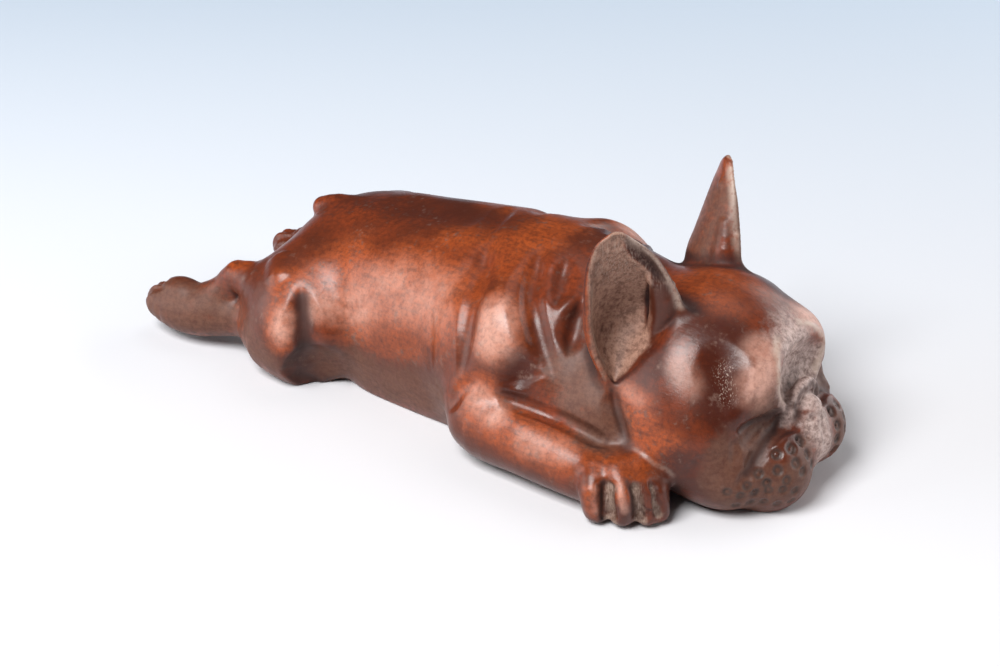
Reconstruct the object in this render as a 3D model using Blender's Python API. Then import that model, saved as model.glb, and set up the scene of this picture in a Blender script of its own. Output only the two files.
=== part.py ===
"""A sleeping dog carved from one piece of boxwood, lying flat on its belly with its legs stretched out.

The carving is one closed body. It lies along Y, with its nose toward -Y and its right side toward -X.
The floor is the plane Z = 0, where belly, chin and paws are planed flat, and the origin is on the flat
of the belly. The carving is laid out in parts, a part being a share of its length, as a distance field:
rounded masses are joined like clay, then gouges and rolls are drawn along the surface.
"""
import math

import bpy
import numpy as np

# Driving sizes, in metres
LENGTH = 0.106            # nose to hind toes
EAR_WALL = 0.00125        # wall of the hollow ear cups
FOLD_DEPTH = 0.0011       # the deep crease behind the shoulder
TOE_GOUGE_DEPTH = 0.0016  # cuts between the toes of the front paws
LID_DEPTH = 0.0010        # lines of the closed eyes
BASE_FLAT = 0.00012       # what lies lower than this is planed to the floor

# The layout, in parts
PARTS_LONG = 106.0
PART = LENGTH / PARTS_LONG
LOW = (-32.0, -57.0, -2.5)
HIGH = (32.0, 59.0, 42.0)
FAR = 9.0                 # distances are only followed this far from the surface
CELL = 0.5                # grid of the field
TRIANGLES = 9400

RIGHT, LEFT = -1, 1

TRUNK_POWER = 2.3
TRUNK_ROWS = [            # y, x of the middle, half width, lowest z, widest z, highest z
    (-30.0, 0, 12.0, 3.0, 11, 23.5),
    (-22.0, 0, 14.5, 0.0, 9, 25.0),
    (-13.0, 0, 16.6, -5.0, 8, 26.5),
    (-4.0, 0, 17.0, -6.0, 8, 26.5),
    (6.0, 0, 16.4, -7.0, 8, 25.3),
    (14.0, 0, 15.6, -7.0, 8, 24.2),
    (20.0, 0, 14.4, -4.0, 9, 23.5),
    (26.0, 0, 13.2, -1.5, 10, 22.2),
    (30.0, 0, 11.6, -0.5, 10, 20.4),
    (33.0, 0, 9.0, 1.0, 10, 17.8),
    (35.2, 0, 5.6, 4.0, 10, 14.8),
    (36.4, 0, 2.0, 8.0, 10, 12.0)]

EAR_ROOT = (12.6, -30.0, 20.0)   # middle of the open side of the left ear
EAR_TURN = math.radians(41.3)    # how far the open side faces outwards
EAR_ROWS = [              # height over the root, shift forwards, half width, depth of the cup
    (-4.8, -2.8, 0.7, 0.8),
    (-3.5, -2.5, 1.9, 2.2),
    (-1.9, -2.2, 3.0, 3.6),
    (0.0, -1.9, 4.1, 5.0),
    (2.1, -1.2, 5.4, 6.0),
    (4.3, -0.5, 6.5, 5.9),
    (6.5, -0.5, 6.6, 5.1),
    (9.7, -1.3, 5.9, 3.8),
    (12.7, -2.1, 4.9, 2.6),
    (14.6, -2.7, 3.8, 1.8),
    (15.9, -3.1, 2.6, 1.4),
    (16.8, -3.1, 1.4, 1.1),
    (17.2, -3.1, 0.7, 0.8)]


def smooth_min(a, b, k):
    """The nearer of two distances, rounded over where they are within k."""
    share = np.clip(0.5 + 0.5 * (b - a) / k, 0.0, 1.0)
    return b + (a - b) * share - k * share * (1.0 - share)


def smooth_curve(points, spacing):
    """Rows along a curve through the given rows, whose first three numbers are a place."""
    p = np.array(points, float)
    p = np.vstack([2 * p[0] - p[1], p, 2 * p[-1] - p[-2]])
    rows = []
    for a, b, c, d in zip(p, p[1:], p[2:], p[3:]):
        count = max(1, int(np.ceil(np.linalg.norm((c - b)[:3]) / spacing)))
        t = (np.arange(count) / count)[:, None]
        rows.append(0.5 * (2 * b + (c - a) * t + (2 * a - 5 * b + 4 * c - d) * t**2
                           + (3 * b - a - 3 * c + d) * t**3))
    rows.append(p[-2][None])
    return np.vstack(rows)


def corner(steps):
    """Slices for one corner of every cell of a grid. A step of None takes the whole axis."""
    return tuple(slice(None) if step is None else slice(step, step - 1 or None) for step in steps)


def on(side, points):
    """Points given for the right side of the dog, mirrored for its left side."""
    return [(-side * point[0],) + tuple(point[1:]) for point in points]


class Clay:
    """A distance field on a grid of cells, negative inside the wood."""

    def __init__(self, cell):
        self.cell = cell
        self.low = np.array(LOW)
        counts = np.ceil((np.array(HIGH) - self.low) / cell).astype(int) + 1
        self.axes = [(LOW[i] + cell * np.arange(counts[i])).astype(np.float32) for i in range(3)]
        self.field = np.full(counts, FAR, np.float32)

    def window(self, low, high):
        """The slices of the grid between two corners, with their coordinates."""
        cut, grid = [], []
        for i, axis in enumerate(self.axes):
            first = max(int(np.searchsorted(axis, low[i])) - 1, 0)
            last = min(int(np.searchsorted(axis, high[i])) + 1, len(axis))
            cut.append(slice(first, last))
            shape = [1, 1, 1]
            shape[i] = last - first
            grid.append(axis[first:last].reshape(shape))
        return tuple(cut), grid

    def join(self, cut, shape, k):
        self.field[cut] = smooth_min(self.field[cut], shape, k)

    def carve(self, cut, shape, k):
        self.field[cut] = -smooth_min(-self.field[cut], shape, k)

    def ball(self, centre, radii, k=2.0, turn=0.0, hollow=False):
        """An egg shape, turned about Z by an angle in degrees, added or cut away."""
        reach = max(radii) + FAR * 0.6 + k
        cut, grid = self.window(np.array(centre) - reach, np.array(centre) + reach)
        x, y, z = (g - c for g, c in zip(grid, centre))
        cos, sin = math.cos(math.radians(turn)), math.sin(math.radians(turn))
        local = (x * cos + y * sin, y * cos - x * sin, z)
        ratio = np.sqrt(sum((v / r)**2 for v, r in zip(local, radii)))
        steep = np.sqrt(sum((v / r**2)**2 for v, r in zip(local, radii)))
        shape = (ratio * (ratio - 1.0) / np.maximum(steep, 1e-6)).astype(np.float32)
        (self.carve if hollow else self.join)(cut, shape, k)

    def limb(self, rows, k=2.0):
        """A round limb along a curve. Each row is x, y, z, radius."""
        path = smooth_curve(rows, 2.0)
        reach = path[:, 3].max() + FAR * 0.6 + k
        cut, grid = self.window(path[:, :3].min(0) - reach, path[:, :3].max(0) + reach)
        shape = FAR
        for a, b in zip(path, path[1:]):
            run = b[:3] - a[:3]
            offset = [g - v for g, v in zip(grid, a[:3])]
            t = np.clip(sum(v * w for v, w in zip(offset, run)) / max(run @ run, 1e-9), 0, 1)
            away = np.sqrt(sum((v - t * w)**2 for v, w in zip(offset, run)))
            shape = np.minimum(shape, away - (a[3] + t * (b[3] - a[3])))
        self.join(cut, shape.astype(np.float32), k)

    def loft(self, rows, power, k):
        """A trunk of rounded cross sections along Y, in rows as in TRUNK_ROWS."""
        rows = np.array(rows, float)
        path = smooth_curve(rows, 1.0)
        path = path[np.argsort(path[:, 0])]
        wide = rows[:, 2].max() + FAR
        cut, (x, y, z) = self.window((-wide, rows[0, 0] - FAR, rows[:, 3].min() - FAR),
                                     (wide, rows[-1, 0] + FAR, rows[:, 5].max() + FAR))
        middle, half, low, widest, high = (np.interp(y, path[:, 0], path[:, i]).astype(np.float32)
                                           for i in range(1, 6))
        half = np.maximum(half, 0.3)
        reach = np.where(z > widest, np.maximum(high - widest, 0.3), np.maximum(widest - low, 0.3))
        ring = ((np.abs(x - middle) / half)**power + (np.abs(z - widest) / reach)**power)**(1 / power)
        ends = np.maximum(y - rows[-1, 0], rows[0, 0] - y)
        shape = np.maximum((ring - 1) * 2 / (1 / half + 1 / reach), ends)
        self.join(cut, shape.astype(np.float32), k)

    def cup(self, root, across, out, rows, wall, k, rim):
        """An upright half-round cup, open toward out, in rows as in EAR_ROWS."""
        rows = np.array(rows, float)
        path = smooth_curve(rows, 0.4)
        path = path[np.argsort(path[:, 0])]
        wide = rows[:, 2].max() + FAR
        cut, grid = self.window((root[0] - wide, root[1] - wide, root[2] + rows[0, 0] - FAR),
                                (root[0] + wide, root[1] + wide, root[2] + rows[-1, 0] + FAR))
        x, y, z = (g - v for g, v in zip(grid, root))
        u = x * across[0] + y * across[1]
        n = x * out[0] + y * out[1]
        shift, half, depth = (np.interp(z, path[:, 0], path[:, i]).astype(np.float32) for i in (1, 2, 3))
        half, depth = np.maximum(half, 0.15), np.maximum(depth, 0.15)
        ends = np.maximum(z - rows[-1, 0], rows[0, 0] - z)
        outer = self.half_round(u - shift, n, half, depth)
        inner_half = np.maximum(half - wall, 0.05)
        inner_depth = np.maximum(depth - np.minimum(wall, 0.7 * depth), 0.05)
        inner = self.half_round(u - shift, n, inner_half, inner_depth)
        inner = np.where(half - wall < 0.06, FAR, inner)
        shell = np.maximum(outer, ends)
        for away in (inner, -n):
            shell = -smooth_min(-shell, away, rim)
        self.join(cut, shell.astype(np.float32), k)
        self.carve(cut, np.maximum(inner, ends).astype(np.float32), rim)

    @staticmethod
    def half_round(u, n, half, depth):
        return (np.sqrt((u / half)**2 + (n / depth)**2) - 1) * 1.6 / (1 / half + 1 / depth)

    def even_out(self):
        """Makes the field grow by one a part near the surface."""
        steep = sum(np.gradient(self.field, self.cell, axis=i)**2 for i in range(3))
        self.field /= np.clip(np.sqrt(steep), 0.35, 3.0)

    def sample(self, points):
        """The field at some places, between the grid's own values."""
        g = (points - self.low) / self.cell
        g = np.clip(g, 0, np.array(self.field.shape) - 1.001)
        i = g.astype(int)
        t = g - i
        total = 0
        for corner in np.ndindex(2, 2, 2):
            share = np.prod(np.where(corner, t, 1 - t), axis=1)
            total = total + share * self.field[tuple((i + corner).T)]
        return total

    def press(self, points):
        """Moves places onto the surface, down the slope of the field."""
        p = np.array(points, float)
        probes = np.eye(3) * self.cell
        for _ in range(8):
            slope = np.stack([self.sample(p + e) - self.sample(p - e) for e in probes], 1) / (2 * self.cell)
            steep = np.maximum((slope**2).sum(1), 0.04)
            move = (self.sample(p) / steep)[:, None] * slope
            size = np.linalg.norm(move, axis=1, keepdims=True)
            p -= move * np.minimum(1, 1.5 / np.maximum(size, 1e-9))
        return p

    def stroke(self, points, width, depth, edge=1.6, ends=0.25, spacing=1.0):
        """A gouge along the surface, or a raised roll where the depth is negative."""
        p = self.press(smooth_curve(points, spacing))
        cut, grid = self.window(p.min(0) - width - 0.5, p.max(0) + width + 0.5)
        field = self.field[cut]
        near = np.nonzero(np.abs(field) < 2.2 + abs(depth))
        q = np.stack([grid[i].ravel()[near[i]] for i in range(3)], 1)
        best = np.full(len(q), FAR)
        along = np.zeros(len(q))
        for i, (a, b) in enumerate(zip(p, p[1:])):
            run = b - a
            t = np.clip((q - a) @ run / max(run @ run, 1e-9), 0, 1)
            away = np.linalg.norm(q - a - t[:, None] * run, axis=1)
            closer = away < best
            best[closer] = away[closer]
            along[closer] = ((i + t) / (len(p) - 1))[closer]
        fade = np.clip(np.minimum(along, 1 - along) / ends, 0, 1)
        fade = fade * fade * (3 - 2 * fade)
        s = np.clip(best / (width * (0.4 + 0.6 * fade)), 0, 1)
        field[near] += (depth * fade * (1 - s)**edge * (1 + edge * s)).astype(np.float32)

    def plane_base(self):
        """Cuts everything below the floor away."""
        self.field = np.maximum(self.field, -self.axes[2].reshape(1, 1, -1))

    def close_pinches(self):
        """Fills grid places until the wood nowhere touches itself along an edge or at a point."""
        wood = -0.02 * self.cell
        planes = (lambda a, b: (a, b, None), lambda a, b: (a, None, b), lambda a, b: (None, a, b))
        filled, before = 1, 0
        while filled > before:
            before = np.count_nonzero(self.field < 0)
            for plane in planes:
                c00, c10, c01, c11 = (corner(plane(a, b)) for b in (0, 1) for a in (0, 1))
                inside = self.field < 0
                diagonal = (inside[c00] == inside[c11]) & (inside[c10] == inside[c01])
                self.field[c10][diagonal & inside[c00] & ~inside[c10]] = wood
                self.field[c00][diagonal & inside[c10] & ~inside[c00]] = wood
            for a in ((0, 0, 0), (1, 0, 0), (0, 1, 0), (0, 0, 1)):
                inside = self.field < 0
                count = sum(inside[corner(c)].astype(np.int8) for c in np.ndindex(2, 2, 2))
                start, end = corner(a), corner((1 - a[0], 1 - a[1], 1 - a[2]))
                tips = (count == 2) & inside[start] & inside[end]
                self.field[corner((1 - a[0], a[1], a[2]))][tips] = wood
                self.field[corner((1 - a[0], 1 - a[1], a[2]))][tips] = wood
                self.field[start][(count == 6) & ~inside[start] & ~inside[end]] = wood
            filled = np.count_nonzero(self.field < 0)


def trunk(clay):
    clay.loft(TRUNK_ROWS, TRUNK_POWER, k=2.0)
    for side in (RIGHT, LEFT):
        throat = (side * 12.0, -25.5, 8.0)
        shoulder = (side * 12.5, -10.0, 11.8)
        haunch = (side * 11.2, 25.8, 9.4)
        thigh = (side * 15.2, 24.6, 7.0)
        clay.ball(throat, (6.8, 8.5, 8.8), k=4)
        clay.ball(shoulder, (7.5, 10.5, 11.2), k=4)
        clay.ball(haunch, (8.2, 9.6, 9.2), k=4)
        clay.ball(thigh, (6.6, 8.2, 8.2), k=3)
    stub_tail = [(0, 25.0, 20.0, 2.2), (0, 29.0, 20.0, 2.1), (0, 32.0, 19.3, 1.7)]
    clay.limb(stub_tail, k=1.2)


def front_legs(clay):
    forearm = [(-14.5, -9.0, 9.5, 5.5), (-17.6, -10.2, 6.0, 5.5), (-18.9, -17.6, 5.4, 4.8),
               (-19.7, -25.6, 4.9, 4.2), (-19.6, -31.0, 4.6, 4.0)]
    toes = [[(-21.2, -29.8, 6.2, 2.2), (-23.4, -30.9, 4.8, 2.0), (-22.9, -31.2, 2.0, 1.9)],
            [(-20.4, -32.6, 6.7, 2.0), (-22.3, -34.4, 5.0, 1.8), (-21.9, -34.4, 1.9, 1.7)],
            [(-19.0, -34.4, 6.7, 1.6), (-20.3, -36.9, 5.0, 1.4), (-20.0, -37.0, 1.7, 1.5)],
            [(-17.8, -34.8, 6.2, 1.6), (-18.7, -37.6, 4.8, 1.3), (-18.5, -37.9, 1.6, 1.4)]]
    for side in (RIGHT, LEFT):
        clay.limb(on(side, forearm), k=2)
        clay.ball((side * 19.4, -33.2, 4.2), (4.2, 4.6, 4.3), k=1.5, turn=side * 35)
        for toe in toes:
            clay.limb(on(side, toe), k=0.7)


def hind_legs(clay):
    """Stretched back with the soles up. The left leg lies nearer the middle and is slimmer."""
    right_leg = [(-15.4, 29.0, 5.2, 4.9), (-14.2, 34.6, 5.6, 3.3), (-14.6, 38.5, 5.4, 3.3),
                 (-15.8, 43.5, 4.8, 3.7), (-16.1, 47.5, 4.7, 3.7), (-16.2, 50.6, 4.8, 3.0)]
    right_hock = [(-13.8, 30.6, 11.0, 4.0), (-13.8, 33.8, 11.6, 3.0), (-14.2, 37.0, 12.2, 2.3),
                  (-14.4, 39.4, 9.8, 2.1), (-14.8, 42.0, 7.4, 2.4)]
    left_leg = [(16.0, 29.0, 5.2, 4.9), (14.0, 36.0, 4.5, 4.3), (12.5, 43.0, 3.3, 3.5),
                (11.7, 47.0, 3.5, 3.1), (11.4, 49.6, 3.6, 2.6)]
    left_hock = [(14.4, 31.0, 10.2, 3.4), (12.9, 36.6, 10.5, 2.7), (12.0, 42.0, 6.6, 2.6)]
    for leg, hock in ((right_leg, right_hock), (left_leg, left_hock)):
        clay.limb(leg, k=2)
        clay.limb(hock, k=2.2)
    right_sole = (-15.9, 47.0, 7.6)
    left_sole = (11.6, 44.6, 6.0)
    for sole in (right_sole, left_sole):
        clay.ball(sole, (2.4, 3.4, 1.8), k=0.8)


def head(clay):
    clay.ball((0, -34.5, 14.5), (15.0, 12.5, 12.0), k=3)      # skull
    clay.ball((0, -40.6, 15.4), (10.3, 7.4, 7.4), k=4)        # forehead
    clay.ball((0, -41.5, 5.6), (11.5, 8.6, 5.8), k=3)         # chin
    for side in (RIGHT, LEFT):
        clay.ball((side * 10.5, -36.5, 9.8), (7.0, 9.0, 8.6), k=3)     # cheek
        clay.ball((side * 9.2, -41.6, 5.4), (6.2, 7.2, 5.8), k=2)      # jowl
        clay.ball((side * 5.4, -42.8, 17.6), (5.0, 4.8, 4.5), k=2)     # brow
    clay.ball((-5.4, -45.4, 5.0), (6.2, 7.0, 6.6), k=1)       # flew of the upper lip, right
    clay.ball((5.0, -45.2, 6.1), (6.1, 6.9, 5.9), k=1)        # and left, which hangs less
    clay.even_out()


def muzzle(clay):
    """The flat hollow between the brows, the rolled fold over the nose, and the nose."""
    clay.ball((0, -50.6, 17.6), (7.8, 5.2, 5.4), k=0.4, hollow=True)
    clay.ball((0, -52.6, 13.0), (6.4, 5.0, 4.0), k=0.6, hollow=True)
    clay.ball((0, -45.8, 7.0), (5.2, 6.5, 4.8), k=1.5)
    clay.ball((0, -46.2, 9.5), (4.6, 5.0, 4.0), k=1.5)
    roll = [(-3.4, -48.2, 10.8, 0.8), (-3.3, -48.0, 12.8, 0.9), (-2.1, -47.8, 14.4, 0.95)]
    clay.limb(roll + [(0, -47.8, 14.8, 1.0)] + on(LEFT, roll)[::-1], k=0.5)
    clay.ball((0, -48.7, 12.0), (2.2, 2.2, 1.8), k=0.6)


def ear_frame(side):
    """The root of an ear, and the level directions across its open side and out of it."""
    cos, sin = math.cos(EAR_TURN), math.sin(EAR_TURN)
    root = np.array([side * EAR_ROOT[0], EAR_ROOT[1], EAR_ROOT[2]])
    return root, np.array([-side * cos, -sin, 0]), np.array([side * sin, -cos, 0])


def ears(clay):
    """Two upright cups, each with a ramp inside and a fold beside its front rim."""
    ramp = [(2.9, 9.8, -1.7, 1.1), (4.1, 6.5, -1.8, 1.9), (4.4, 3.5, -2.0, 2.1), (3.7, 0.6, -1.9, 2.0),
            (2.2, -1.6, -1.6, 1.6), (0.4, -3.6, -1.2, 1.1)]
    fold = [(-2.0, 15.1, -1.4), (-0.9, 13.3, -1.6), (0.9, 11.7, -1.8), (1.9, 10.6, -1.8), (3.1, 9.0, -1.6),
            (4.5, 7.7, -1.4)]
    for side in (RIGHT, LEFT):
        root, across, out = ear_frame(side)
        clay.cup(root, across, out, EAR_ROWS, EAR_WALL / PART, k=1.8, rim=0.5)

        def place(forwards, height, outwards):
            return tuple(root + across * forwards + out * outwards + (0, 0, height))

        clay.limb([place(*row[:3]) + (row[3],) for row in ramp], k=0.4)
        clay.stroke([place(*point) for point in fold], width=0.8, depth=-0.5, ends=0.2)


def face(clay):
    """The closed eyes, the edges of the flews and cheeks, the nostrils and the cleft of the lip."""
    temple = [(-8.8, -38.6, 23.4), (-10.4, -41.2, 20.8), (-11.6, -42.9, 17.6), (-12.8, -43.2, 14.4)]
    brow_edge = [(-6.2, -46.4, 15.0), (-8.6, -45.3, 15.0), (-11.0, -44.2, 14.8), (-13.4, -43.4, 13.8)]
    lid_hollow = [(-5.6, -47.2, 13.0), (-8.0, -46.3, 12.5), (-10.0, -45.7, 11.6), (-12.0, -45.3, 10.6)]
    lid_top = [(-5.2, -47.5, 13.9), (-7.6, -46.6, 13.7), (-9.4, -45.6, 13.2), (-12.2, -44.7, 12.6)]
    lid_slit = [(-5.0, -47.4, 13.4), (-5.6, -47.3, 11.8), (-7.8, -47.0, 10.9), (-9.9, -46.6, 9.5),
                (-12.2, -46.2, 7.6)]
    lid_corner = [(-12.4, -44.5, 12.2), (-12.6, -45.0, 10.2), (-13.4, -45.2, 8.4)]
    flew_edge = [(-1.8, -49.4, 11.0), (-4.6, -48.3, 11.2), (-7.3, -47.7, 10.4), (-9.7, -47.2, 8.9),
                 (-11.9, -46.6, 7.2), (-13.6, -45.8, 5.6)]
    cheek_crease = [(-15.6, -42.4, 10.4), (-16.0, -41.5, 8.6), (-16.2, -40.2, 6.8)]
    nostril = [(-0.9, -50.8, 11.8), (-1.9, -50.2, 11.6)]
    lip_cleft = [(0, -50.6, 11.0), (0, -50.9, 8.0), (0, -50.6, 5.0), (0, -50.0, 1.5)]
    lid_depth = LID_DEPTH / PART
    for side in (RIGHT, LEFT):
        clay.stroke(on(side, temple), width=4.0, depth=0.9, ends=0.45)
        clay.stroke(on(side, brow_edge), width=2.4, depth=-0.4)
        clay.stroke(on(side, lid_hollow), width=2.2, depth=0.8)
        clay.stroke(on(side, lid_top), width=0.9, depth=lid_depth, edge=1.2, ends=0.15)
        clay.stroke(on(side, lid_slit), width=0.8, depth=lid_depth, edge=1.2, ends=0.12)
        clay.stroke(on(side, lid_corner), width=0.9, depth=0.35)
        clay.stroke(on(side, flew_edge), width=1.1, depth=0.8, edge=1.3, ends=0.15)
        clay.stroke(on(side, cheek_crease), width=1.2, depth=0.4)
        clay.stroke(on(side, nostril), width=0.8, depth=0.6, ends=0.3, spacing=0.5)
    clay.stroke(lip_cleft, width=1.0, depth=0.5, ends=0.15)


def shoulder_folds(clay):
    """The crease that runs over the back behind the shoulders, and the loose skin of the neck."""
    crease = [(-3.0, -4.2, 25.9), (-4.9, -3.2, 25.3), (-7.3, -3.0, 24.8), (-10.9, -4.4, 23.4),
              (-14.6, -5.8, 21.4), (-17.8, -7.0, 17.6), (-19.3, -7.4, 13.0), (-20.0, -7.2, 9.6)]
    over_the_back = [(6.4, 1.9, 24.6), (1.8, 0.7, 25.1), (-1.5, -0.1, 24.8), (-4.4, -0.9, 24.7),
                     (-7.0, -1.8, 24.4)]
    neck_fold = [(-3.4, -10.4, 26.3), (-7.0, -11.0, 25.4), (-10.3, -12.5, 24.0), (-12.9, -14.1, 22.2),
                 (-14.4, -15.6, 20.3), (-15.4, -17.3, 18.2), (-16.0, -18.8, 16.4), (-16.6, -20.4, 13.8)]
    wedge = [(-4.2, -14.2, 25.8), (-7.4, -15.2, 24.4), (-9.6, -16.2, 23.4), (-12.2, -17.4, 22.0)]
    nape_fold = [(-8.6, -19.2, 23.2), (-11.0, -20.0, 20.6), (-12.8, -20.4, 18.8), (-14.6, -21.0, 16.6)]
    side_fold = [(-16.8, -15.8, 19.0), (-17.5, -15.6, 16.4), (-18.3, -16.0, 14.0), (-18.4, -17.0, 12.2)]
    ridges = [[(-5.6, -13.2, 25.4), (-9.6, -14.4, 24.0), (-12.6, -16.2, 22.0), (-14.0, -17.6, 19.8)],
              [(-7.4, -17.4, 24.0), (-10.4, -18.4, 22.2), (-12.8, -18.8, 20.4)]]
    fold_depth = FOLD_DEPTH / PART
    clay.stroke(over_the_back, width=2.0, depth=0.6 * fold_depth, ends=0.3)
    folds = [(crease, 4.0, 0.7, 0.7), (neck_fold, 3.8, 1.0, 0.9), (wedge, 2.6, 0.7, 0.4),
             (nape_fold, 2.8, 0.8, 0.6), (side_fold, 3.8, 0.9, 0.2)]
    for side in (RIGHT, LEFT):
        for line, width, broad, narrow in folds:
            clay.stroke(on(side, line), width, depth=broad * fold_depth, ends=0.4)
            clay.stroke(on(side, line), 0.5 * width, depth=narrow * fold_depth, ends=0.35)
        for ridge in ridges:
            clay.stroke(on(side, ridge), width=2.0, depth=-0.4 * fold_depth, ends=0.5)


def limb_creases(clay):
    """Where the forearm, the elbow, the cheek and the thigh meet the body."""
    forearm_top = [(-20.0, -12.6, 11.8), (-19.3, -16.4, 10.8), (-18.8, -20.0, 10.3), (-18.7, -24.0, 10.0),
                   (-18.8, -27.6, 9.4), (-19.0, -30.6, 8.9)]
    elbow = [(-19.6, -10.6, 13.2), (-20.6, -8.0, 10.6), (-21.0, -7.2, 7.0)]
    cheek_back = [(-15.3, -28.2, 15.9), (-15.5, -29.0, 13.9), (-16.6, -30.8, 11.3), (-18.2, -32.6, 9.2)]
    thigh = [(-16.2, 23.2, 16.2), (-17.6, 21.9, 14.1), (-18.9, 20.7, 10.2), (-19.4, 20.2, 6.5),
             (-19.0, 19.0, 3.0), (-17.4, 18.6, -1.5)]
    ribs = [[(-14.2, 1.8, 18.7), (-16.7, -0.2, 14.2), (-17.6, -1.3, 7.8)],
            [(-15.0, -1.7, 20.0), (-18.0, -4.1, 16.0), (-19.7, -5.5, 9.5)]]
    for side in (RIGHT, LEFT):
        clay.ball((side * 18.6, 17.2, 2.4), (3.4, 4.2, 5.2), k=2, hollow=True)      # below the flank
        clay.stroke(on(side, forearm_top), width=1.5, depth=1.1, ends=0.15)
        clay.stroke(on(side, elbow), width=1.6, depth=0.7)
        clay.stroke(on(side, cheek_back), width=2.4, depth=0.5, ends=0.4)
        clay.stroke(on(side, cheek_back), width=0.8, depth=0.5, ends=0.3)
        clay.stroke(on(side, thigh), width=3.2, depth=1.3, ends=0.35)
        clay.stroke(on(side, thigh), width=1.4, depth=0.6, ends=0.3)
        for rib in ribs:
            clay.stroke(on(side, rib), width=1.6, depth=0.3, ends=0.4)
    rump_roll = [(-12.8, 29.6, 18.0), (-16.0, 27.6, 16.4), (-17.8, 26.2, 14.6)]
    spine = [(0, 21.0, 23.0), (-0.6, 14.0, 23.6), (-0.8, 6.0, 24.8), (-0.6, 0, 26.0)]
    clay.stroke(rump_roll, width=2.6, depth=-0.6)
    clay.stroke(spine, width=5.5, depth=0.6)


def toe_gouges(clay):
    front = [(1.6, 1.0, [(-22.8, -32.4, 7.0), (-23.5, -33.2, 4.3), (-23.5, -33.6, 1.2)]),
             (1.2, 0.9, [(-21.3, -35.2, 6.9), (-21.7, -36.4, 4.6), (-21.4, -36.8, 1.4)]),
             (0.8, 0.7, [(-19.7, -36.8, 6.6), (-20.3, -37.9, 4.6), (-19.9, -38.6, 1.4)])]
    for side in (RIGHT, LEFT):
        for width, share, points in front:
            clay.stroke(on(side, points), width, share * TOE_GOUGE_DEPTH / PART, edge=2.0, ends=0.15)
    for x, y, z in ((-16.2, 48.6, 8.4), (11.4, 46.6, 6.6)):
        for shift in (-1.5, 0, 1.5):
            gap = [(x + shift, y, z), (x + shift, y + 3.1, z - 1.4), (x + shift, y + 5.0, z - 3.8)]
            clay.stroke(gap, width=0.8, depth=0.6, ends=0.3)


def sculpt(cell):
    """The whole carving as a field."""
    clay = Clay(cell)
    for step in (trunk, front_legs, hind_legs, head, muzzle, ears, face, shoulder_folds, limb_creases,
                 toe_gouges):
        step(clay)
    clay.plane_base()
    clay.close_pinches()
    return clay


def skin(clay):
    """The surface where the field is zero, as places and four-sided faces, one place a cell."""
    inside = clay.field < 0
    size = np.array(inside.shape)
    rings, spots = [], []
    for axis in range(3):
        step = np.eye(3, dtype=int)[axis]
        first, second = np.eye(3, dtype=int)[(axis + 1) % 3], np.eye(3, dtype=int)[(axis + 2) % 3]
        near = tuple(slice(0, -1 if i == axis else None) for i in range(3))
        far = tuple(slice(1 if i == axis else 0, None) for i in range(3))
        at = np.argwhere(inside[near] != inside[far])
        before, after = clay.field[tuple(at.T)], clay.field[tuple((at + step).T)]
        ring = np.stack([at - first - second, at - second, at, at - first], 1)
        ring = (ring[..., 0] * size[1] + ring[..., 1]) * size[2] + ring[..., 2]
        rings.append(np.where((before < 0)[:, None], ring, ring[:, ::-1]))
        spots.append(at + step * (before / (before - after))[:, None])
    rings = np.vstack(rings)
    cells, index = np.unique(rings.ravel(), return_inverse=True)
    index = index.ravel()
    spots = np.repeat(np.vstack(spots), 4, axis=0)
    total = np.stack([np.bincount(index, weights=spots[:, i], minlength=len(cells)) for i in range(3)], 1)
    places = total / np.bincount(index, minlength=len(cells))[:, None]
    return clay.low + places * clay.cell, index.reshape(-1, 4)


def relaxed(places, faces, share):
    """The places, each moved a share of the way to the middle of its neighbours."""
    total, count = np.zeros_like(places), np.zeros(len(places))
    for i in range(4):
        for j in ((i + 1) % 4, (i + 3) % 4):
            count += np.bincount(faces[:, i], minlength=len(places))
            for axis in range(3):
                total[:, axis] += np.bincount(faces[:, i], weights=places[faces[:, j], axis],
                                              minlength=len(places))
    return places + share * (total / count[:, None] - places)


def boxwood():
    """Polished reddish-brown boxwood."""
    material = bpy.data.materials.new("boxwood")
    material.use_nodes = True
    shader = material.node_tree.nodes["Principled BSDF"]
    shader.inputs["Base Color"].default_value = (0.19, 0.052, 0.022, 1.0)
    shader.inputs["Roughness"].default_value = 0.42
    shader.inputs["Metallic"].default_value = 0.0
    return material


def carving():
    """The mesh object of the whole dog, thinned to its triangles and planed flat below."""
    clay = sculpt(CELL)
    places, faces = skin(clay)
    places = relaxed(places, faces, 0.5) * PART
    mesh = bpy.data.meshes.new("dog_carving")
    mesh.from_pydata(places.tolist(), [], faces.tolist())
    dog = bpy.data.objects.new("dog_carving", mesh)
    bpy.context.scene.collection.objects.link(dog)
    thin = dog.modifiers.new("thin", "DECIMATE")
    thin.ratio = TRIANGLES / (2 * len(faces))
    bpy.context.view_layer.objects.active = dog
    bpy.ops.object.modifier_apply(modifier=thin.name)
    for vertex in mesh.vertices:
        if vertex.co.z < BASE_FLAT:
            vertex.co.z = 0.0
    mesh.shade_smooth()
    mesh.set_sharp_from_angle(angle=math.radians(50))
    mesh.materials.append(boxwood())
    return dog


def main():
    for thing in list(bpy.data.objects):
        bpy.data.objects.remove(thing, do_unlink=True)
    carving()


main()
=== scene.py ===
"""The looks of a sleeping dog carved in boxwood: one fine mesh, its worn wood with painted highlights and
shade, a table, lamps and camera.

The fine carving repeats the masses, folds and gouges of the solid that it stands for on a closer grid, and
adds what a knife point and a ring punch leave: whisker marks, and the lines of nose, brows, lids and toes.
Places are in parts, a part being a share of the solid's length, with the nose toward -Y and the right side
toward -X.
"""
import math

import bpy
import numpy as np
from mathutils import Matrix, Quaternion, Vector


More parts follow.
